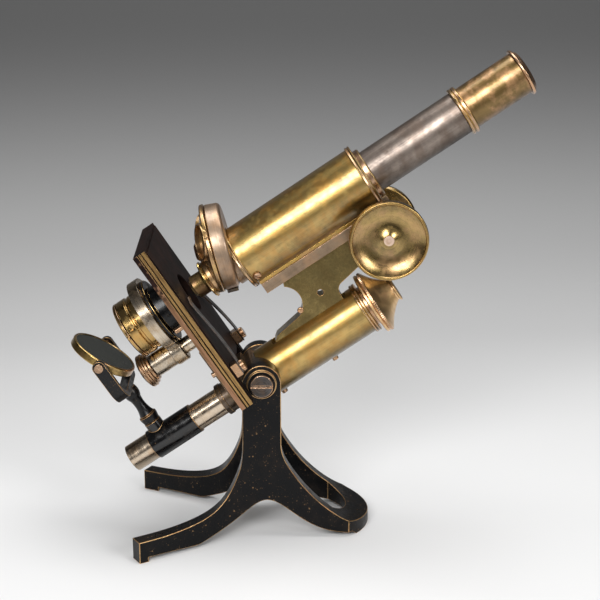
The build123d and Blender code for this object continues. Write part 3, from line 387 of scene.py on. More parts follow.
@dataclass(frozen=True)
class AgedMetal(Finish):
    """Old polished metal with tarnish clouds, tool marks, spots and fine scratches, and optionally painted
    shade on the underside.

    Attributes:
        grain: The direction of the tool marks.
        bright: Colour of the clean metal.
        tarnish: Colour where it has dulled.
        blush: Colour of the warmer stains.
        rough: Roughness of the clean metal.
        clouds: How strongly the tarnish shows.
        blushing: How strongly the warm stains show.
        spotting: How strongly small spots show.
        marks: Depth of the tool marks in millimetres.
        lacquer: Weight of the clear coat.
        underside_shade_reach: Distance below the axis where painted shade darkens the underside, or 0 for
            none.
    """

    grain: Grain
    bright: Colour
    tarnish: Colour
    blush: Colour
    rough: float = 0.28
    clouds: float = 1.0
    blushing: float = 0.65
    spotting: float = 0.3
    marks: float = 0.002
    lacquer: float = 0.6
    underside_shade_reach: float = 0.0

    CLOUD = Noise(0.05, 3.0, 0.5)
    MOTTLE = Noise(0.28, 2.0, 0.5)
    STAIN = Noise(0.085, 4.0, 0.6)
    FINE_LINES = Noise(1.5, 2.0)
    BROAD_LINES = Noise(0.30, 3.0, 0.6)
    LATHE_RINGS = Noise(1.1, 2.0, 0.5)
    ROLLED_SKIN = Noise(0.9, 3.0, 0.5)
    RING_SCRATCHES = Noise(0.4, 1.0)
    LINE_SCRATCHES = Noise(0.11, 1.0)
    SCRATCHED_AREAS = Noise(0.06, 2.0)
    FINE_STRETCH = (1.0, 1.0, 0.025)
    BROAD_STRETCH = (1.0, 1.0, 0.06)
    SCRATCH_STRETCH = (1.0, 0.55, 0.3)
    STAIN_STRETCH = (0.8, 1.0, 1.2)
    DULLED = (0.38, 0.70)
    STAINED = (0.44, 0.64)
    SCRATCHED = (0.54, 0.66)
    SCRATCH_WIDTH = 0.004
    SCRATCH_SHINE = 1.35
    SPOT_SCALE = 0.16
    SPOT_EDGE = (0.05, 0.15)
    SPOT_CHANCE = (0.6, 0.85)
    SPOT_SHADE = 0.45
    HAZED = (0.42, 0.75)
    UNDERSIDE_SHADE_WANDER = 6.0
    UNDERSIDE_SHADE_START = 0.05
    UNDERSIDE_SHADE_COVER = 0.9
    UNDERSIDE_SHADE_DARKNESS = 0.22
    COAT_ROUGH = 0.18

    def rings(self, bench: Bench, place: Wire) -> Wire:
        """Gives a place that is the same all the way round the axis."""
        return bench.join(bench.radius(place), 0.0, bench.split(place)[2])

    def tool_marks(self, bench: Bench, place: Wire) -> Wire:
        """Gives the tool marks as noise drawn out along the grain.

        Args:
            bench: The material's bench.
            place: The place in the seat.

        Returns:
            The marks, from 0 to 1.
        """
        if self.grain is Grain.DRAWN:
            fine = bench.noise(bench.stretch(place, self.FINE_STRETCH), self.FINE_LINES)
            broad = bench.noise(bench.stretch(place, self.BROAD_STRETCH), self.BROAD_LINES)
            return fine * 0.55 + broad * 0.45
        if self.grain is Grain.TURNED:
            return bench.noise(self.rings(bench, place), self.LATHE_RINGS)
        return bench.noise(place, self.ROLLED_SKIN)

    def scratches(self, bench: Bench, place: Wire) -> Wire:
        """Gives thin scratches: rings round a turned piece's axis, wandering lines on the others.

        Args:
            bench: The material's bench.
            place: The place in the seat.

        Returns:
            The scratches, 1 in them and 0 between.
        """
        if self.grain is Grain.TURNED:
            path = bench.noise(self.rings(bench, place), self.RING_SCRATCHES)
        else:
            path = bench.noise(bench.stretch(place, self.SCRATCH_STRETCH), self.LINE_SCRATCHES)
        line = 1.0 - abs(path - 0.5).rise(0.0, self.SCRATCH_WIDTH)
        return line * bench.noise(place, self.SCRATCHED_AREAS).rise(*self.SCRATCHED)

    def paint(self, bench: Bench) -> dict[str, Any]:
        """Builds the finish.

        Args:
            bench: The material's bench.

        Returns:
            The shader's inputs.
        """
        place = bench.place(self.seat)
        cloud = bench.noise(place, self.CLOUD)
        mottle = bench.noise(place, self.MOTTLE)
        stain = bench.noise(bench.stretch(place, self.STAIN_STRETCH), self.STAIN)
        marks = self.tool_marks(bench, place)
        dull = (cloud * 0.5 + mottle * 0.22 + marks * 0.28).rise(*self.DULLED) * self.clouds
        colour = bench.blend(dull, self.bright, self.tarnish)
        colour = bench.blend(stain.rise(*self.STAINED) * self.blushing, colour, self.blush)
        # Painted shade: the underside, below the axis, is darkened towards a deep tarnish colour.
        if self.underside_shade_reach > 0.0:
            below = bench.split(place)[0] + (cloud - 0.5) * self.UNDERSIDE_SHADE_WANDER
            underside_shade = below.rise(self.underside_shade_reach * self.UNDERSIDE_SHADE_START, self.underside_shade_reach) * self.UNDERSIDE_SHADE_COVER
            colour = bench.blend(underside_shade, colour, shade(self.tarnish, self.UNDERSIDE_SHADE_DARKNESS))
        spots = bench.dots(place, self.SPOT_SCALE, self.SPOT_EDGE, self.SPOT_CHANCE) * self.spotting
        colour = bench.blend(spots, colour, shade(self.blush, self.SPOT_SHADE))
        scratch = self.scratches(bench, place)
        colour = bench.blend(scratch * 0.6, colour, shade(self.bright, self.SCRATCH_SHINE))
        haze = mottle.rise(*self.HAZED)
        rough = self.rough + dull * 0.12 + (marks - 0.5) * 0.14 + haze * 0.09 + spots * 0.2
        relief = marks * 0.85 + mottle * 0.15 - scratch * 0.5 - spots * 0.4
        return {
            "Base Color": colour,
            "Metallic": 1.0 - spots * 0.45,
            "Roughness": rough,
            "Normal": bench.bump(relief, self.marks),
            "Coat Weight": self.lacquer,
            "Coat Roughness": self.COAT_ROUGH,
        }


@dataclass(frozen=True)
class Japan(Finish):
    """Black japan with brown rubbed patches, copper coloured pin chips and an uneven gloss.

    Attributes:
        black: Colour of the sound paint.
        brown: Colour where it is rubbed thin.
        chip: Colour of the metal in the chips.
        chipping: How strongly the chips show.
        rough: Roughness of the sound paint.
        grit: Depth of the casting's texture in millimetres.
        gloss: Strength of the paint's reflection.
    """

    black: Colour = (0.0020, 0.0020, 0.0024)
    brown: Colour = (0.0095, 0.0070, 0.0055)
    chip: Colour = (0.42, 0.25, 0.12)
    chipping: float = 1.0
    rough: float = 0.3
    grit: float = 0.10
    gloss: float = 0.18

    CLOUD = Noise(0.04, 6.0, 0.65)
    SKIN = Noise(0.55, 5.0, 0.62)
    WANDER = Noise(0.16, 4.0, 0.6)
    RUBBED = (0.46, 0.68)
    CHIPPED = (0.38, 0.6)
    CHIP_SCALE = 0.42
    CHIP_EDGE = (0.10, 0.28)
    CHIP_CHANCE = (0.62, 0.8)
    FINE_SCALE = 1.1
    FINE_EDGE = (0.12, 0.34)
    FINE_CHANCE = (0.6, 0.8)

    def paint(self, bench: Bench) -> dict[str, Any]:
        """Builds the finish.

        Args:
            bench: The material's bench.

        Returns:
            The shader's inputs.
        """
        place = bench.place(self.seat)
        cloud = bench.noise(place, self.CLOUD)
        skin = bench.noise(place, self.SKIN)
        wander = bench.noise(place, self.WANDER)
        rubbed = (cloud * 0.6 + wander * 0.4).rise(*self.RUBBED)
        large = bench.dots(place, self.CHIP_SCALE, self.CHIP_EDGE, self.CHIP_CHANCE)
        fine = bench.dots(place, self.FINE_SCALE, self.FINE_EDGE, self.FINE_CHANCE)
        chips = (large + fine * 0.7) * wander.rise(*self.CHIPPED) * self.chipping
        chips = chips.rise(0.0, 1.0)
        colour = bench.blend(rubbed * 0.75, self.black, self.brown)
        colour = bench.blend(chips * 0.55, colour, self.chip)
        rough = self.rough + rubbed * 0.2 + (skin - 0.5) * 0.25
        return {
            "Base Color": colour,
            "Roughness": rough,
            "Metallic": chips * 0.6,
            "Specular IOR Level": self.gloss,
            "Normal": bench.bump(skin * 0.8 + wander * 0.4 - chips * 0.6, self.grit),
        }


@dataclass(frozen=True)
class StageBlack(Finish):
    """Dark red-brown stage face whose long edges are worn to brass strips.

    Attributes:
        half_width: Where the worn edges begin, in millimetres from the middle.
        strip_low: Height below which the strip is rose coloured.
        face: Colour of the sound face.
        rubbed: Colour where the face is rubbed.
        gold: Colour of the upper strip.
        rose: Colour of the lower strip.
        stain: Colour of the dark streaks in the strips.
        front_wear: Where the lower strip's paint has gone, along the stage.
        front_fade: Length over which it goes.
        gloss: Strength of the face's reflection.
        grit: Depth of the face's texture in millimetres.
    """

    half_width: float = 40.15
    strip_low: float = -13.2
    face: Colour = (0.006, 0.003, 0.0025)
    rubbed: Colour = (0.024, 0.0095, 0.0065)
    gold: Colour = (0.41, 0.255, 0.10)
    rose: Colour = (0.38, 0.205, 0.12)
    stain: Colour = (0.17, 0.095, 0.04)
    front_wear: float = -62.0
    front_fade: float = 22.0
    gloss: float = 0.1
    grit: float = 0.02

    CLOUD = Noise(0.05, 6.0, 0.65)
    STREAK = Noise(1.3, 4.0, 0.6)
    PATCH = Noise(0.22, 5.0, 0.65)
    STREAK_STRETCH = (0.06, 1.0, 1.0)
    RUBBED = (0.42, 0.66)
    STREAKED = (0.42, 0.7)
    FLAKED = (0.36, 0.5)
    STRIP_BLUR = 0.2
    EDGE_BLUR = 0.25

    def paint(self, bench: Bench) -> dict[str, Any]:
        """Builds the finish.

        Args:
            bench: The material's bench.

        Returns:
            The shader's inputs.
        """
        place = bench.place(self.seat)
        x, y, z = bench.split(place)
        cloud = bench.noise(place, self.CLOUD)
        streak = bench.noise(bench.stretch(place, self.STREAK_STRETCH), self.STREAK)
        patch = bench.noise(place, self.PATCH)
        face = bench.blend((cloud * 0.7 + streak * 0.3).rise(*self.RUBBED), self.face, self.rubbed)
        low = 1.0 - z.rise(self.strip_low - self.STRIP_BLUR, self.strip_low + self.STRIP_BLUR)
        metal = bench.blend(low, self.gold, self.rose)
        metal = bench.blend(streak.rise(*self.STREAKED) * 0.75, metal, self.stain)
        paint_left = (1.0 - x.rise(self.front_wear - self.front_fade, self.front_wear)) * low
        worn = abs(y).rise(self.half_width - self.EDGE_BLUR, self.half_width)
        worn = worn * (1.0 - paint_left * patch.rise(*self.FLAKED))
        colour = bench.blend(worn, face, metal)
        return {
            "Base Color": colour,
            "Metallic": worn,
            "Roughness": 0.46 + patch * 0.16 - worn * 0.2,
            "Normal": bench.bump(streak * 0.6 + patch * 0.5, self.grit),
            "Specular IOR Level": self.gloss,
        }


@dataclass(frozen=True)
class ClearGlass(Finish):
    """Old lens glass, faintly green, with a light film of dust."""

    clean: Colour = (0.90, 0.95, 0.90)
    dusty: Colour = (0.78, 0.83, 0.77)
    refraction: float = 1.52

    FILM = Noise(0.35, 5.0, 0.65)
    DUSTED = (0.4, 0.8)
    DULLED = (0.5, 0.9)

    def paint(self, bench: Bench) -> dict[str, Any]:
        """Builds the finish.

        Args:
            bench: The material's bench.

        Returns:
            The shader's inputs.
        """
        film = bench.noise(bench.place(self.seat), self.FILM)
        return {
            "Base Color": bench.blend(film.rise(*self.DUSTED), self.clean, self.dusty),
            "Roughness": film.rise(*self.DULLED) * 0.16,
            "Transmission Weight": 1.0,
            "IOR": self.refraction,
        }


@dataclass(frozen=True)
class SilveredGlass(Finish):
    """Back-silvered mirror glass, dimmed and greenish towards its rim."""

    middle: Colour = (0.085, 0.095, 0.07)
    rim: Colour = (0.025, 0.045, 0.02)
    dust: Colour = (0.10, 0.10, 0.085)
    rim_radius: float = 21.0
    rim_fade: float = 7.0

    FILM = Noise(0.12, 6.0, 0.65)
    DUSTED = (0.5, 0.75)
    DULLED = (0.4, 0.8)

    def paint(self, bench: Bench) -> dict[str, Any]:
        """Builds the finish.

        Args:
            bench: The material's bench.

        Returns:
            The shader's inputs.
        """
        place = bench.place(self.seat)
        film = bench.noise(place, self.FILM)
        edge = bench.radius(place).rise(self.rim_radius - self.rim_fade, self.rim_radius)
        colour = bench.blend(edge * 0.8, self.middle, self.rim)
        colour = bench.blend(film.rise(*self.DUSTED) * 0.5, colour, self.dust)
        return {
            "Base Color": colour,
            "Metallic": 0.9,
            "Roughness": 0.10 + film.rise(*self.DULLED) * 0.2,
            "Coat Weight": 0.6,
            "Coat Roughness": 0.05,
        }


GOLD: Colour = (0.58, 0.385, 0.125)
OLIVE: Colour = (0.235, 0.165, 0.052)
UMBER: Colour = (0.14, 0.09, 0.03)
ROSE: Colour = (0.56, 0.36, 0.225)
ROSE_DIM: Colour = (0.24, 0.135, 0.075)
COPPER: Colour = (0.62, 0.35, 0.175)
AMBER: Colour = (0.56, 0.295, 0.07)

# The tube, column, eyepiece and draw tube get painted shade on their undersides.
TUBE_BRASS = AgedMetal(
    "tube_brass", Slot.BRASS, TUBE, Grain.DRAWN, GOLD, OLIVE, AMBER, 0.30, clouds=1.15, lacquer=0.85,
    underside_shade_reach=21.0,
)
COLUMN_BRASS = AgedMetal(
    "column_brass", Slot.BRASS, COLUMN, Grain.DRAWN, GOLD, OLIVE, AMBER, 0.30, underside_shade_reach=15.0
)
EYEPIECE_BRASS = AgedMetal(
    "eyepiece_brass", Slot.BRASS, TUBE, Grain.DRAWN, (0.25, 0.16, 0.058), (0.10, 0.062, 0.022), COPPER, 0.34,
    spotting=0.8, lacquer=0.4, underside_shade_reach=17.0,
)
RING_ROSE = AgedMetal("ring_rose_gold", Slot.BRONZE, TUBE, Grain.TURNED, ROSE, ROSE_DIM, COPPER, 0.24)
COLUMN_ROSE = AgedMetal("column_rose_gold", Slot.BRONZE, COLUMN, Grain.TURNED, ROSE, ROSE_DIM, COPPER, 0.24)
# The fine head's brass is lighter than the other brass: partly its own colour, partly painted light, as the
# head faces away from the lamps.
FINE_LIT_BRASS = AgedMetal(
    "fine_head_lit_brass", Slot.BRASS, COLUMN, Grain.TURNED, (0.86, 0.58, 0.28), (0.55, 0.35, 0.15), COPPER, 0.33
)
# The knobs' brass is darker than the other brass: partly its own tone, partly painted shade for the darker
# surroundings its dishes reflect.
KNOB_SHADED_BRASS = AgedMetal(
    "knob_shaded_brass", Slot.BRASS, KNOB, Grain.TURNED, (0.42, 0.28, 0.095), (0.15, 0.108, 0.04), COPPER, 0.21,
    blushing=0.4, spotting=0.8, marks=0.0012, lacquer=0.65,
)
NOSE_ROSE = AgedMetal(
    "nosepiece_rose", Slot.BRONZE, NOSE, Grain.TURNED, (0.40, 0.29, 0.205), (0.20, 0.135, 0.09), COPPER, 0.40,
    blushing=0.3, marks=0.006, lacquer=0.25,
)
NOSE_COPPER = AgedMetal(
    "nosepiece_copper", Slot.BRONZE, NOSE, Grain.TURNED, (0.60, 0.37, 0.18), (0.22, 0.13, 0.06), GOLD, 0.26
)
OBJECTIVE_BRASS = AgedMetal("objective_brass", Slot.BRASS, TUBE, Grain.TURNED, GOLD, UMBER, COPPER, 0.24)
PLATE_BRASS = AgedMetal(
    "plate_brass", Slot.BRASS, LIMB, Grain.ROLLED, (0.27, 0.195, 0.072), (0.125, 0.094, 0.036), UMBER, 0.26,
    blushing=0.35, lacquer=0.15,
)
RAIL_BRONZE = AgedMetal(
    "rail_bronze", Slot.BRONZE, LIMB, Grain.DRAWN, (0.42, 0.30, 0.195), (0.20, 0.135, 0.085), COPPER, 0.34,
    blushing=0.3,
)
SLIDE_GOLD = AgedMetal(
    "slide_gold", Slot.BRASS, LIMB, Grain.DRAWN, (0.80, 0.50, 0.13), (0.42, 0.24, 0.06), COPPER, 0.22
)
DARK_BRONZE = AgedMetal(
    "dark_bronze", Slot.BRONZE, LIMB, Grain.ROLLED, (0.13, 0.09, 0.06), (0.04, 0.03, 0.022), UMBER, 0.38
)
SCREW_ROSE = AgedMetal("screw_rose_gold", Slot.BRONZE, LIMB, Grain.ROLLED, ROSE, ROSE_DIM, COPPER, 0.25)
LEAD_COPPER = AgedMetal(
    "lead_knob_copper", Slot.BRONZE, LEAD, Grain.TURNED, (0.60, 0.39, 0.23), (0.23, 0.135, 0.075), COPPER,
    0.24,
)
DRAW_NICKEL = AgedMetal(
    "draw_nickel", Slot.NICKEL, TUBE, Grain.DRAWN, (0.32, 0.265, 0.225), (0.135, 0.108, 0.093),
    (0.19, 0.14, 0.11), 0.36, clouds=1.1, spotting=0.4, lacquer=0.05, underside_shade_reach=14.0,
)
TAIL_NICKEL = AgedMetal(
    "tail_nickel", Slot.NICKEL, TAIL, Grain.TURNED, (0.68, 0.56, 0.43), (0.42, 0.29, 0.18),
    (0.48, 0.29, 0.14), 0.19, clouds=0.5, blushing=0.6, marks=0.001, lacquer=0.1,
)
CARRIER_NICKEL = AgedMetal(
    "carrier_nickel", Slot.NICKEL, TUBE, Grain.TURNED, (0.68, 0.59, 0.47), (0.20, 0.15, 0.11),
    (0.40, 0.27, 0.14), 0.20, clouds=0.7, blushing=0.6, marks=0.001, lacquer=0.1,
)
DRUM_GOLD = AgedMetal(
    "drum_gold", Slot.BRASS, TUBE, Grain.TURNED, (0.56, 0.36, 0.125), OLIVE, AMBER, 0.15, clouds=0.7,
    marks=0.001,
)
BLUED_STEEL = AgedMetal(
    "blued_steel", Slot.STEEL, HINGE, Grain.TURNED, (0.115, 0.105, 0.10), (0.03, 0.027, 0.026),
    (0.16, 0.10, 0.06), 0.3, lacquer=0.1,
)
PLAIN_STEEL = AgedMetal(
    "plain_steel", Slot.STEEL, LIMB, Grain.ROLLED, (0.42, 0.40, 0.38), (0.16, 0.14, 0.13),
    (0.22, 0.15, 0.10), 0.3, lacquer=0.0,
)
PIN_COPPER = AgedMetal("pin_copper", Slot.BRONZE, KNOB, Grain.TURNED, (0.92, 0.70, 0.57), ROSE, ROSE, 0.42)
MIRROR_BRASS = AgedMetal("mirror_brass", Slot.BRASS, MIRROR, Grain.TURNED, GOLD, UMBER, COPPER, 0.26)
WORN_EDGE = AgedMetal(
    "worn_edge", Slot.JAPAN, STAND, Grain.ROLLED, (0.66, 0.42, 0.20), (0.03, 0.02, 0.012),
    (0.46, 0.25, 0.11), 0.34, clouds=0.9, blushing=0.7, lacquer=0.0,
)
STAND_JAPAN = Japan("stand_japan", Slot.JAPAN, STAND)
FORK_JAPAN = Japan("fork_japan", Slot.JAPAN, LIMB, chipping=0.8, grit=0.05, gloss=0.35)
SLEEVE_JAPAN = Japan("sleeve_japan", Slot.JAPAN, TAIL, chipping=0.7, rough=0.15, grit=0.008, gloss=0.7)
CELL_JAPAN = Japan("cell_japan", Slot.JAPAN, TUBE, chipping=0.3, rough=0.24, grit=0.02, gloss=0.35)
STAGE_FACE = StageBlack("stage_face", Slot.JAPAN, LIMB)
LENS_GLASS = ClearGlass("lens_glass", Slot.GLASS, TUBE)
MIRROR_GLASS = SilveredGlass("mirror_glass", Slot.SILVERED, MIRROR)


def add_piece(name: str, shape: BMesh, finishes: list[Finish]) -> bpy.types.Object:
    """Makes an object of a finished bmesh, at the origin.

    Args:
        name: The piece's name.
        shape: Its mesh, in metres. It is freed.
        finishes: The finishes of its material slots.

    Returns:
        The new object.
    """
    for face in shape.faces:
        face.smooth = True
    mesh = bpy.data.meshes.new(name)
    shape.to_mesh(mesh)
    shape.free()
    piece = bpy.data.objects.new(name, mesh)
    for finish in finishes:
        mesh.materials.append(finish.material())
    bpy.context.scene.collection.objects.link(piece)
    return piece


def points_of(made: dict[str, list[Any]]) -> list[BMVert]:
    """Picks the points out of what a mesh operator made."""
    return [item for item in made["geom"] if isinstance(item, BMVert)]


def mark_sharp(shape: BMesh) -> None:
    """Marks a mesh's edges that are not shaded smooth."""
    for line in shape.edges:
        line.smooth = not (len(line.link_faces) == 2 and line.calc_face_angle() > SHARP)


def round_edges(piece: bpy.types.Object, width: float, material: int = -1, clamp: bool = False) -> None:
    """Rounds a piece's sharp edges.

    Args:
        piece: The piece.
        width: Width of the rounding in millimetres.
        material: Material slot of the rounded faces, or -1 for their neighbours'.
        clamp: Whether short edges hold the width back.
    """
    bevel = piece.modifiers.new("edges", "BEVEL")
    bevel.width = width * MM
    bevel.segments = EDGE_STEPS
    bevel.profile = 0.5
    bevel.limit_method = "ANGLE"
    bevel.angle_limit = SHARP
    bevel.harden_normals = True
    bevel.use_clamp_overlap = clamp
    bevel.material = material


def body_of(node: str) -> str:
    """Gives the CAD body that a node rides on."""
    return frame["nodes"][node]["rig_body"]


@dataclass(frozen=True)
class Band:
    """Measures of a milled band, in millimetres.

    Attributes:
        radius: Radius over the teeth.
        low: Lower end along the axis.
        high: Upper end along the axis.
        teeth: How many ridges.
    """

    radius: float
    low: float
    high: float
    teeth: int


class SubAssembly:
    """Pieces that are built together.

    Attributes:
        edge: Rounding of most edges in millimetres.
    """

    edge: float = 0.25

    POINTS_PER_TOOTH = 4
    TOOTH_DEPTH = 0.3
    BAND_DEPTH = 0.9
    HEAD_SIDES = 40
    HEAD_STEPS = 4
    HEAD_ROUNDING = 0.55
    SLOT_HALF = 0.16
    SLOT_DEPTH = 0.35
    HEAD_WELD = 0.002
    NEAR_TOP = 0.9
    FACES_UP = 0.2

    def build(self) -> None:
        """Builds and dresses the pieces."""
        raise NotImplementedError

    def work(
        self, node: str, finish: Finish, trim: Finish | None = None, edge: float | None = None,
        clamp: bool = False, shaping: Callable[[BMesh], None] | None = None,
    ) -> None:
        """Stands a copy of a CAD node with rounded edges in for the node.

        Args:
            node: The CAD node.
            finish: The finish of its faces.
            trim: The finish of the rounded edges, where they differ.
            edge: Width of the rounding in millimetres, 0 for none, or None for the usual one.
            clamp: Whether short edges hold the rounding back.
            shaping: What else is done to the copied mesh, if anything.
        """
        shape = bmesh.new()
        shape.from_mesh(frame["nodes"][node].data)
        for face in shape.faces:
            face.material_index = 0
        bmesh.ops.remove_doubles(shape, verts=shape.verts, dist=WELD)
        if shaping is not None:
            shaping(shape)
        bmesh.ops.dissolve_limit(
            shape, angle_limit=FLAT, use_dissolve_boundaries=False, verts=shape.verts, edges=shape.edges
        )
        mark_sharp(shape)
        finishes = [finish] if trim is None else [finish, trim]
        piece = add_piece(f"{node}_dressed", shape, finishes)
        width = self.edge if edge is None else edge
        if width > 0.0:
            round_edges(piece, width, -1 if trim is None else 1, clamp)
        self.fit(piece, body_of(node), finish.slot, node)

    def fit(self, piece: bpy.types.Object, body: str, slot: Slot, *nodes: str) -> None:
        """Puts a piece on its body and logs it.

        Args:
            piece: The piece.
            body: The CAD body it rides on.
            slot: The record's material slot; not used.
            nodes: The CAD nodes it stands for.
        """
        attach(piece, body)
        if nodes:
            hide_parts(*nodes)
        LOG.info("%s: %s on %s", type(self).__name__, piece.name, body)

    def milled_band(self, name: str, body: str, seat: Seat, band: Band, finish: Finish) -> None:
        """Adds a straight-milled band round an axis.

        Args:
            name: The piece's name.
            body: The CAD body it rides on.
            seat: The frame whose Z axis it goes round.
            band: Its measures.
            finish: Its finish.
        """
        shape = bmesh.new()
        bmesh.ops.create_circle(shape, segments=band.teeth * self.POINTS_PER_TOOTH, radius=band.radius)
        for number, vert in enumerate(list(shape.verts)):
            if number % self.POINTS_PER_TOOTH in (0, self.POINTS_PER_TOOTH - 1):
                vert.co *= 1.0 - self.TOOTH_DEPTH / band.radius
        for vert in points_of(bmesh.ops.extrude_edge_only(shape, edges=list(shape.edges))):
            vert.co *= (band.radius - self.BAND_DEPTH) / vert.co.length
        lifted = points_of(bmesh.ops.extrude_face_region(shape, geom=list(shape.faces)))
        bmesh.ops.translate(shape, verts=lifted, vec=(0.0, 0.0, band.high - band.low))
        bmesh.ops.recalc_face_normals(shape, faces=shape.faces)
        bmesh.ops.translate(shape, verts=shape.verts, vec=(0.0, 0.0, band.low))
        bmesh.ops.transform(shape, matrix=seat.world(), verts=shape.verts)
        mark_sharp(shape)
        self.fit(add_piece(name, shape, [finish]), body, finish.slot)

    def slotted_head(
        self, name: str, node: str, seat: Seat, radius: float, height: float, finish: Finish
    ) -> None:
        """Adds a domed screw head with a driver slot.

        Args:
            name: The piece's name.
            node: The CAD node that it stands for.
            seat: A frame at the middle of the head's seat, with Z outwards.
            radius: The head's radius in millimetres.
            height: The head's height in millimetres.
            finish: The head's finish.
        """
        shape = bmesh.new()
        bmesh.ops.create_cone(
            shape, cap_ends=True, segments=self.HEAD_SIDES, radius1=radius, radius2=radius, depth=height,
            matrix=Matrix.Translation((0.0, 0.0, height / 2.0)),
        )
        near_top = height * self.NEAR_TOP
        rim = [line for line in shape.edges if all(vert.co.z > near_top for vert in line.verts)]
        bmesh.ops.bevel(
            shape, geom=rim, offset=height * self.HEAD_ROUNDING, offset_type="OFFSET", affect="EDGES",
            segments=self.HEAD_STEPS, profile=0.5, material=-1,
        )
        slot_half = radius * self.SLOT_HALF
        for side in (-slot_half, slot_half):
            everything = list(shape.verts) + list(shape.edges) + list(shape.faces)
            bmesh.ops.bisect_plane(shape, geom=everything, plane_co=(0.0, side, 0.0), plane_no=CROSS_AXIS)
        floor = [
            face for face in shape.faces
            if face.normal.z > self.FACES_UP and abs(face.calc_center_median().y) < slot_half
        ]
        lowered = points_of(bmesh.ops.extrude_face_region(shape, geom=floor))
        bmesh.ops.delete(shape, geom=floor, context="FACES_ONLY")
        bmesh.ops.translate(shape, verts=lowered, vec=(0.0, 0.0, -height * self.SLOT_DEPTH))
        bmesh.ops.remove_doubles(shape, verts=shape.verts, dist=radius * self.HEAD_WELD)
        bmesh.ops.recalc_face_normals(shape, faces=shape.faces)
        bmesh.ops.transform(shape, matrix=seat.world(), verts=shape.verts)
        mark_sharp(shape)
        self.fit(add_piece(name, shape, [finish]), body_of(node), finish.slot, node)


@dataclass
class Stand(SubAssembly):
    """The japanned casting and its two trunnion screws."""

    casting_edge: float = 0.42
    screw_edge: float = 0.35

    def build(self) -> None:
        """Builds and dresses the stand."""
        self.work("foot_casting", STAND_JAPAN, WORN_EDGE, self.casting_edge)
        self.work("trunnion_screws", BLUED_STEEL, SCREW_ROSE, self.screw_edge)


class Column(SubAssembly):
    """The limb's joint, column and tail."""

    def build(self) -> None:
        """Builds and dresses the column."""
        self.work("limb_joint", DARK_BRONZE, WORN_EDGE, clamp=True)
        self.work("column_tube", COLUMN_BRASS)
        self.work("column_screws", SCREW_ROSE)
        self.work("column_ring", COLUMN_ROSE, COLUMN_BRASS)
        self.work("tail_flange", DARK_BRONZE, WORN_EDGE)
        self.work("tail_tube", TAIL_NICKEL, MIRROR_BRASS)


@dataclass
class Stage(SubAssembly):
    """The square stage and its two spring clips."""

    edge: float = 0.15
    clip_head_height: float = 2.4
    clip_head_radius: float = 3.45
    clip_teeth: int = 22
    milling_inset: float = 0.4

    def build(self) -> None:
        """Builds and dresses the stage."""
        for node in ("stage_plate", "stage_top", "stage_facing"):
            self.work(node, STAGE_FACE)
        self.work("stage_pins", SCREW_ROSE)
        for side in ("near", "far"):
            self.work(f"clip_{side}_pillar", SCREW_ROSE, WORN_EDGE)
            self.work(f"clip_{side}_blade", BLUED_STEEL)
            seat = Seat(tuple(joint(f"clip_{side}_turn")["pos_m"]), TUBE_AXIS)
            bottom, top = self.head_span(f"clip_{side}_pillar", seat)
            band = Band(self.clip_head_radius, bottom, top, self.clip_teeth)
            self.milled_band(f"clip_{side}_milling", f"clip_{side}", seat, band, SCREW_ROSE)

    def head_span(self, node: str, seat: Seat) -> Span:
        """Gives a clip head's span along its axis.

        Args:
            node: The clip's pillar.
            seat: The frame on the clip's axis.

        Returns:
            The lower and upper end of the milling.
        """
        inward = seat.world().inverted()
        top = max((inward @ vert.co).z for vert in frame["nodes"][node].data.vertices)
        return top - self.clip_head_height + self.milling_inset, top - self.milling_inset


@dataclass
class FineFocus(SubAssembly):
    """The fine adjustment's screw, core and milled head."""

    edge: float = 0.15
    rim: Band = Band(radius=19.85, low=80.2, high=81.5, teeth=90)

    def build(self) -> None:
        """Builds and dresses the fine adjustment."""
        self.work("fine_screw", PLAIN_STEEL, edge=0.0)
        self.work("fine_head", FINE_LIT_BRASS, COLUMN_ROSE)
        self.work("slide_core", PLAIN_STEEL, edge=0.0)
        self.milled_band("fine_head_milling", "fine_screw_head", COLUMN, self.rim, COLUMN_ROSE)


@dataclass
class Arm(SubAssembly):
    """The web, guide rails, pinion and its two dished knobs.

    A knob's dish is an arc of radius dish_curve. Its centre lies dish_valley from the knobs' axis and
    dish_centre from the middle. Points between dish_inner and dish_outer, beyond dish_back, are on it.
    """

    edge: float = 0.2
    web_edge: float = 0.3
    screw_place: Point = (-19.5, -5.9, 41.5)
    screw_radius: float = 1.9
    screw_height: float = 1.2
    dish_inner: float = 3.1
    dish_outer: float = 21.0
    dish_back: float = 23.5
    dish_valley: float = 10.507
    dish_curve: float = 16.246
    dish_centre: float = 41.318

    def build(self) -> None:
        """Builds and dresses the arm."""
        self.work("arm_web", PLATE_BRASS, SLIDE_GOLD, self.web_edge)
        seat = LIMB.facing(self.screw_place, (0.0, -1.0, 0.0))
        self.slotted_head(
            "arm_screw_head", "arm_screw", seat, self.screw_radius, self.screw_height, SCREW_ROSE
        )
        self.work("guide_rails", RAIL_BRONZE, SCREW_ROSE)
        self.work("pinion_housing", PLATE_BRASS, SLIDE_GOLD, clamp=True)
        self.work("pinion_shaft", PIN_COPPER, edge=0.0)
        for side in ("near", "far"):
            self.work(f"coarse_knob_{side}", KNOB_SHADED_BRASS, COLUMN_BRASS, self.web_edge, shaping=self.dish)
        self.work("rack", PLAIN_STEEL, edge=0.0)

    def dish(self, shape: BMesh) -> None:
        """Draws a coarse knob's dish as one hollow curve from its rim to its pin.

        Args:
            shape: The knob's copied mesh.
        """
        outward = KNOB.world()
        inward = outward.inverted()
        for vert in shape.verts:
            place = inward @ vert.co
            radius = math.hypot(place.x, place.y)
            if self.dish_inner < radius < self.dish_outer and abs(place.z) > self.dish_back:
                drop = math.sqrt(self.dish_curve**2 - (radius - self.dish_valley) ** 2)
                place.z = math.copysign(self.dish_centre - drop, place.z)
                vert.co = outward @ place


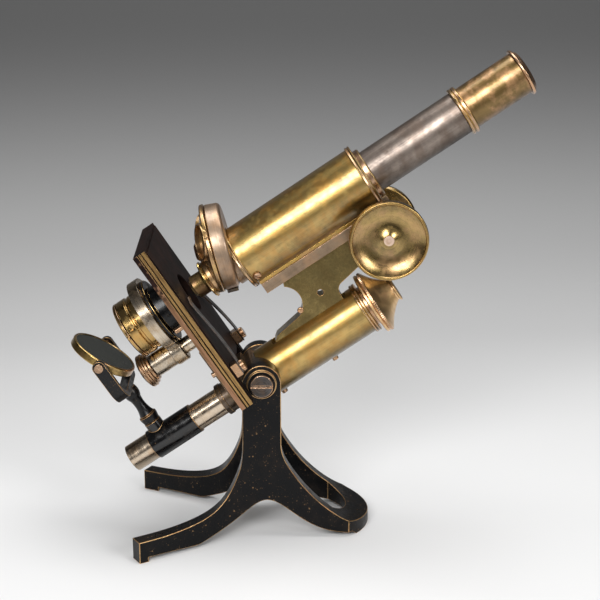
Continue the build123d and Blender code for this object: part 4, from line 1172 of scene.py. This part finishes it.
@dataclass
class Body(SubAssembly):
    """The body tube, its rings and the slide on its back."""

    edge: float = 0.2
    screw_turn: float = math.radians(-54.0)
    screw_out: float = 18.85
    screw_along: float = 33.2
    screw_radius: float = 2.5
    screw_height: float = 1.6

    def build(self) -> None:
        """Builds and dresses the body tube."""
        self.work("body_tube", TUBE_BRASS)
        self.work("slide_bar", SLIDE_GOLD, clamp=True)
        for node in ("body_lower_ring", "body_upper_ring", "draw_bush"):
            self.work(node, RING_ROSE, TUBE_BRASS)
        out = (math.cos(self.screw_turn), math.sin(self.screw_turn), 0.0)
        seat = TUBE.facing((out[0] * self.screw_out, out[1] * self.screw_out, self.screw_along), out)
        self.slotted_head(
            "body_screw_head", "body_screw", seat, self.screw_radius, self.screw_height, SCREW_ROSE
        )


@dataclass
class Nosepiece(SubAssembly):
    """The turning nosepiece and its objective."""

    collar: Band = Band(radius=11.7, low=5.8, high=6.7, teeth=64)

    def build(self) -> None:
        """Builds and dresses the nosepiece."""
        self.work("nosepiece_disc", NOSE_COPPER)
        self.work("nosepiece_cover", NOSE_ROSE, NOSE_COPPER)
        self.work("nosepiece_pivot", SCREW_ROSE)
        self.work("nosepiece_catch", DARK_BRONZE)
        for node in ("objective_collar", "objective_barrel"):
            self.work(node, OBJECTIVE_BRASS)
        self.work("objective_lens", LENS_GLASS, edge=0.0)
        self.milled_band("objective_milling", "nosepiece", TUBE, self.collar, OBJECTIVE_BRASS)


class DrawTube(SubAssembly):
    """The plated draw tube and the eyepiece in it."""

    def build(self) -> None:
        """Builds and dresses the draw tube."""
        self.work("draw_tube", DRAW_NICKEL)
        self.work("draw_ring", RING_ROSE, TUBE_BRASS)
        self.work("eyepiece_barrel", EYEPIECE_BRASS)
        self.work("eyepiece_cap", RING_ROSE)
        for node in ("eye_lens", "field_lens"):
            self.work(node, LENS_GLASS, edge=0.0)


class Substage(SubAssembly):
    """The substage post, its knob, the carrier and the condenser."""

    def build(self) -> None:
        """Builds and dresses the substage."""
        self.work("substage_post", CARRIER_NICKEL)
        self.work("substage_knob", LEAD_COPPER)
        self.work("substage_carrier", CARRIER_NICKEL)
        self.work("condenser_cell", CELL_JAPAN, DRUM_GOLD)
        self.work("condenser_drum", DRUM_GOLD)
        self.work("condenser_top_lens", LENS_GLASS, edge=0.0)
        self.work("iris_ring", DRUM_GOLD, LEAD_COPPER)


class MirrorGroup(SubAssembly):
    """The sleeve on the tail, the fork and the two-sided mirror."""

    def build(self) -> None:
        """Builds and dresses the mirror."""
        self.work("mirror_sleeve", SLEEVE_JAPAN, WORN_EDGE)
        self.work("mirror_fork", FORK_JAPAN, WORN_EDGE)
        self.work("fork_pins", SCREW_ROSE)
        self.work("mirror_cell", MIRROR_BRASS)
        for node in ("plane_glass", "concave_glass"):
            self.work(node, MIRROR_GLASS, edge=0.0)


@dataclass(frozen=True)
class Sweep(Finish):
    """Pale paper floor with painted shade: it darkens to grey as it rises behind the object, and to dark grey
    out of sight in front, for the unlit room.
    """

    near: Colour = (0.82, 0.82, 0.82)
    middle: Colour = (0.52, 0.52, 0.52)
    far: Colour = (0.115, 0.115, 0.115)
    front: Colour = (0.20, 0.20, 0.20)
    depth_share: float = 0.6
    middle_span: Span = (60.0, 420.0)
    far_span: Span = (250.0, 800.0)
    front_span: Span = (220.0, 1000.0)

    def paint(self, bench: Bench) -> dict[str, Any]:
        """Builds the finish.

        Args:
            bench: The material's bench.

        Returns:
            The shader's inputs.
        """
        y, z = bench.split(bench.place(self.seat))[1:]
        climb = y * self.depth_share + z
        # Painted shade: the paper darkens as it climbs the sweep, for the light falling off.
        colour = bench.blend(climb.rise(*self.middle_span), self.near, self.middle)
        colour = bench.blend(climb.rise(*self.far_span), colour, self.far)
        # Painted shade: the floor in front, out of sight, is dark grey for the unlit room that the metal
        # reflects.
        colour = bench.blend((0.0 - y).rise(*self.front_span), colour, self.front)
        return {"Base Color": colour, "Roughness": 0.9, "Specular IOR Level": 0.1}


PAPER = Sweep("paper_sweep", Slot.JAPAN, STAND)


@dataclass(frozen=True)
class Softbox:
    """One rectangular studio lamp.

    Attributes:
        name: The lamp's name.
        place: Where it hangs, in metres.
        power: Its power in watts.
        size: Its width and height in metres.
    """

    name: str
    place: Point
    power: float
    size: Span


@dataclass
class Studio:
    """The floor, lamps and camera round the object."""

    floor_depth: float = 0.95
    floor_near: float = -12.0
    floor_half: float = 12.0
    bend: float = 0.55
    bend_steps: int = 24
    wall: float = 3.0
    sheet_weld: float = 1e-5
    aim: Point = (-0.01, 0.0, 0.14)
    camera_place: Point = (-0.03656, -0.7652, 0.3441)
    camera_right: Point = (0.9988, -0.0481, 0.0)
    camera_forward: Point = (0.0465, 0.9654, -0.2565)
    lens: float = 79.66
    sensor: float = 36.0
    sight: Span = (0.05, 50.0)
    sky: float = 0.07
    lamps: tuple[Softbox, ...] = (
        Softbox("key_lamp", (-0.34, -1.15, 0.82), 14.0, (0.8, 0.5)),
        Softbox("side_lamp", (0.88, -0.92, 0.66), 7.0, (0.5, 0.45)),
        Softbox("top_lamp", (0.05, 0.12, 1.35), 12.0, (1.2, 0.7)),
    )

    def build(self) -> None:
        """Builds the floor, the lamps and the camera."""
        self.lay_floor()
        self.hang_lamps()
        self.set_camera()
        bpy.context.scene.view_settings.view_transform = "Standard"

    def lay_floor(self) -> None:
        """Lays one sheet that runs along the floor and sweeps up behind the object."""
        shape = bmesh.new()
        ends = [shape.verts.new((x, self.floor_near, 0.0)) for x in (-self.floor_half, self.floor_half)]
        front = [shape.edges.new(ends)]
        flat = self.floor_depth - self.bend - self.floor_near
        front = self.drag(shape, front, (0.0, flat, 0.0))
        turn = bmesh.ops.spin(
            shape, geom=front, cent=(0.0, self.floor_depth - self.bend, self.bend), axis=(1.0, 0.0, 0.0),
            angle=math.pi / 2.0, steps=self.bend_steps,
        )["geom_last"]
        last = [item for item in turn if isinstance(item, BMEdge)]
        self.drag(shape, last, (0.0, 0.0, self.wall))
        bmesh.ops.remove_doubles(shape, verts=shape.verts, dist=self.sheet_weld)
        bmesh.ops.recalc_face_normals(shape, faces=shape.faces)
        add_piece("paper_sweep", shape, [PAPER])

    def drag(self, shape: BMesh, edges: list[BMEdge], by: Point) -> list[BMEdge]:
        """Extrudes edges by a vector.

        Args:
            shape: The mesh.
            edges: The edges to extrude.
            by: The vector in metres.

        Returns:
            The new edges.
        """
        made = bmesh.ops.extrude_edge_only(shape, edges=edges)
        points = points_of(made)
        bmesh.ops.translate(shape, verts=points, vec=by)
        return [
            item for item in made["geom"]
            if isinstance(item, BMEdge) and item.is_boundary and all(vert in points for vert in item.verts)
        ]

    def hang_lamps(self) -> None:
        """Hangs the lamps and sets the sky's even light."""
        for lamp in self.lamps:
            data = bpy.data.lights.new(lamp.name, "AREA")
            data.shape = "RECTANGLE"
            data.size, data.size_y = lamp.size
            data.energy = lamp.power
            thing = bpy.data.objects.new(lamp.name, data)
            thing.location = lamp.place
            thing.rotation_euler = (Vector(self.aim) - Vector(lamp.place)).to_track_quat("-Z", "Y").to_euler()
            bpy.context.scene.collection.objects.link(thing)
        world = bpy.data.worlds.new("even_sky")
        world.use_nodes = True
        light = world.node_tree.nodes["Background"].inputs
        light["Color"].default_value = (1.0, 1.0, 1.0, 1.0)
        light["Strength"].default_value = self.sky
        bpy.context.scene.world = world

    def set_camera(self) -> None:
        """Sets the camera where the photograph was taken from."""
        data = bpy.data.cameras.new("camera")
        data.lens = self.lens
        data.sensor_width = self.sensor
        data.clip_start, data.clip_end = self.sight
        forward = Vector(self.camera_forward).normalized()
        right = Vector(self.camera_right).normalized()
        up = right.cross(forward).normalized()
        right = forward.cross(up).normalized()
        camera = bpy.data.objects.new("camera", data)
        turn = Matrix((right, up, -forward)).transposed().to_4x4()
        camera.matrix_world = Matrix.Translation(self.camera_place) @ turn
        bpy.context.scene.collection.objects.link(camera)
        bpy.context.scene.camera = camera


def main() -> None:
    """Builds the studio and every sub-assembly."""
    logging.basicConfig(level=logging.INFO, format="%(message)s")
    Studio().build()
    assemblies = (
        Stand(), Column(), Stage(), FineFocus(), Arm(), Body(), Nosepiece(), DrawTube(), Substage(),
        MirrorGroup(),
    )
    for assembly in assemblies:
        assembly.build()


if __name__ == "__main__":
    main()
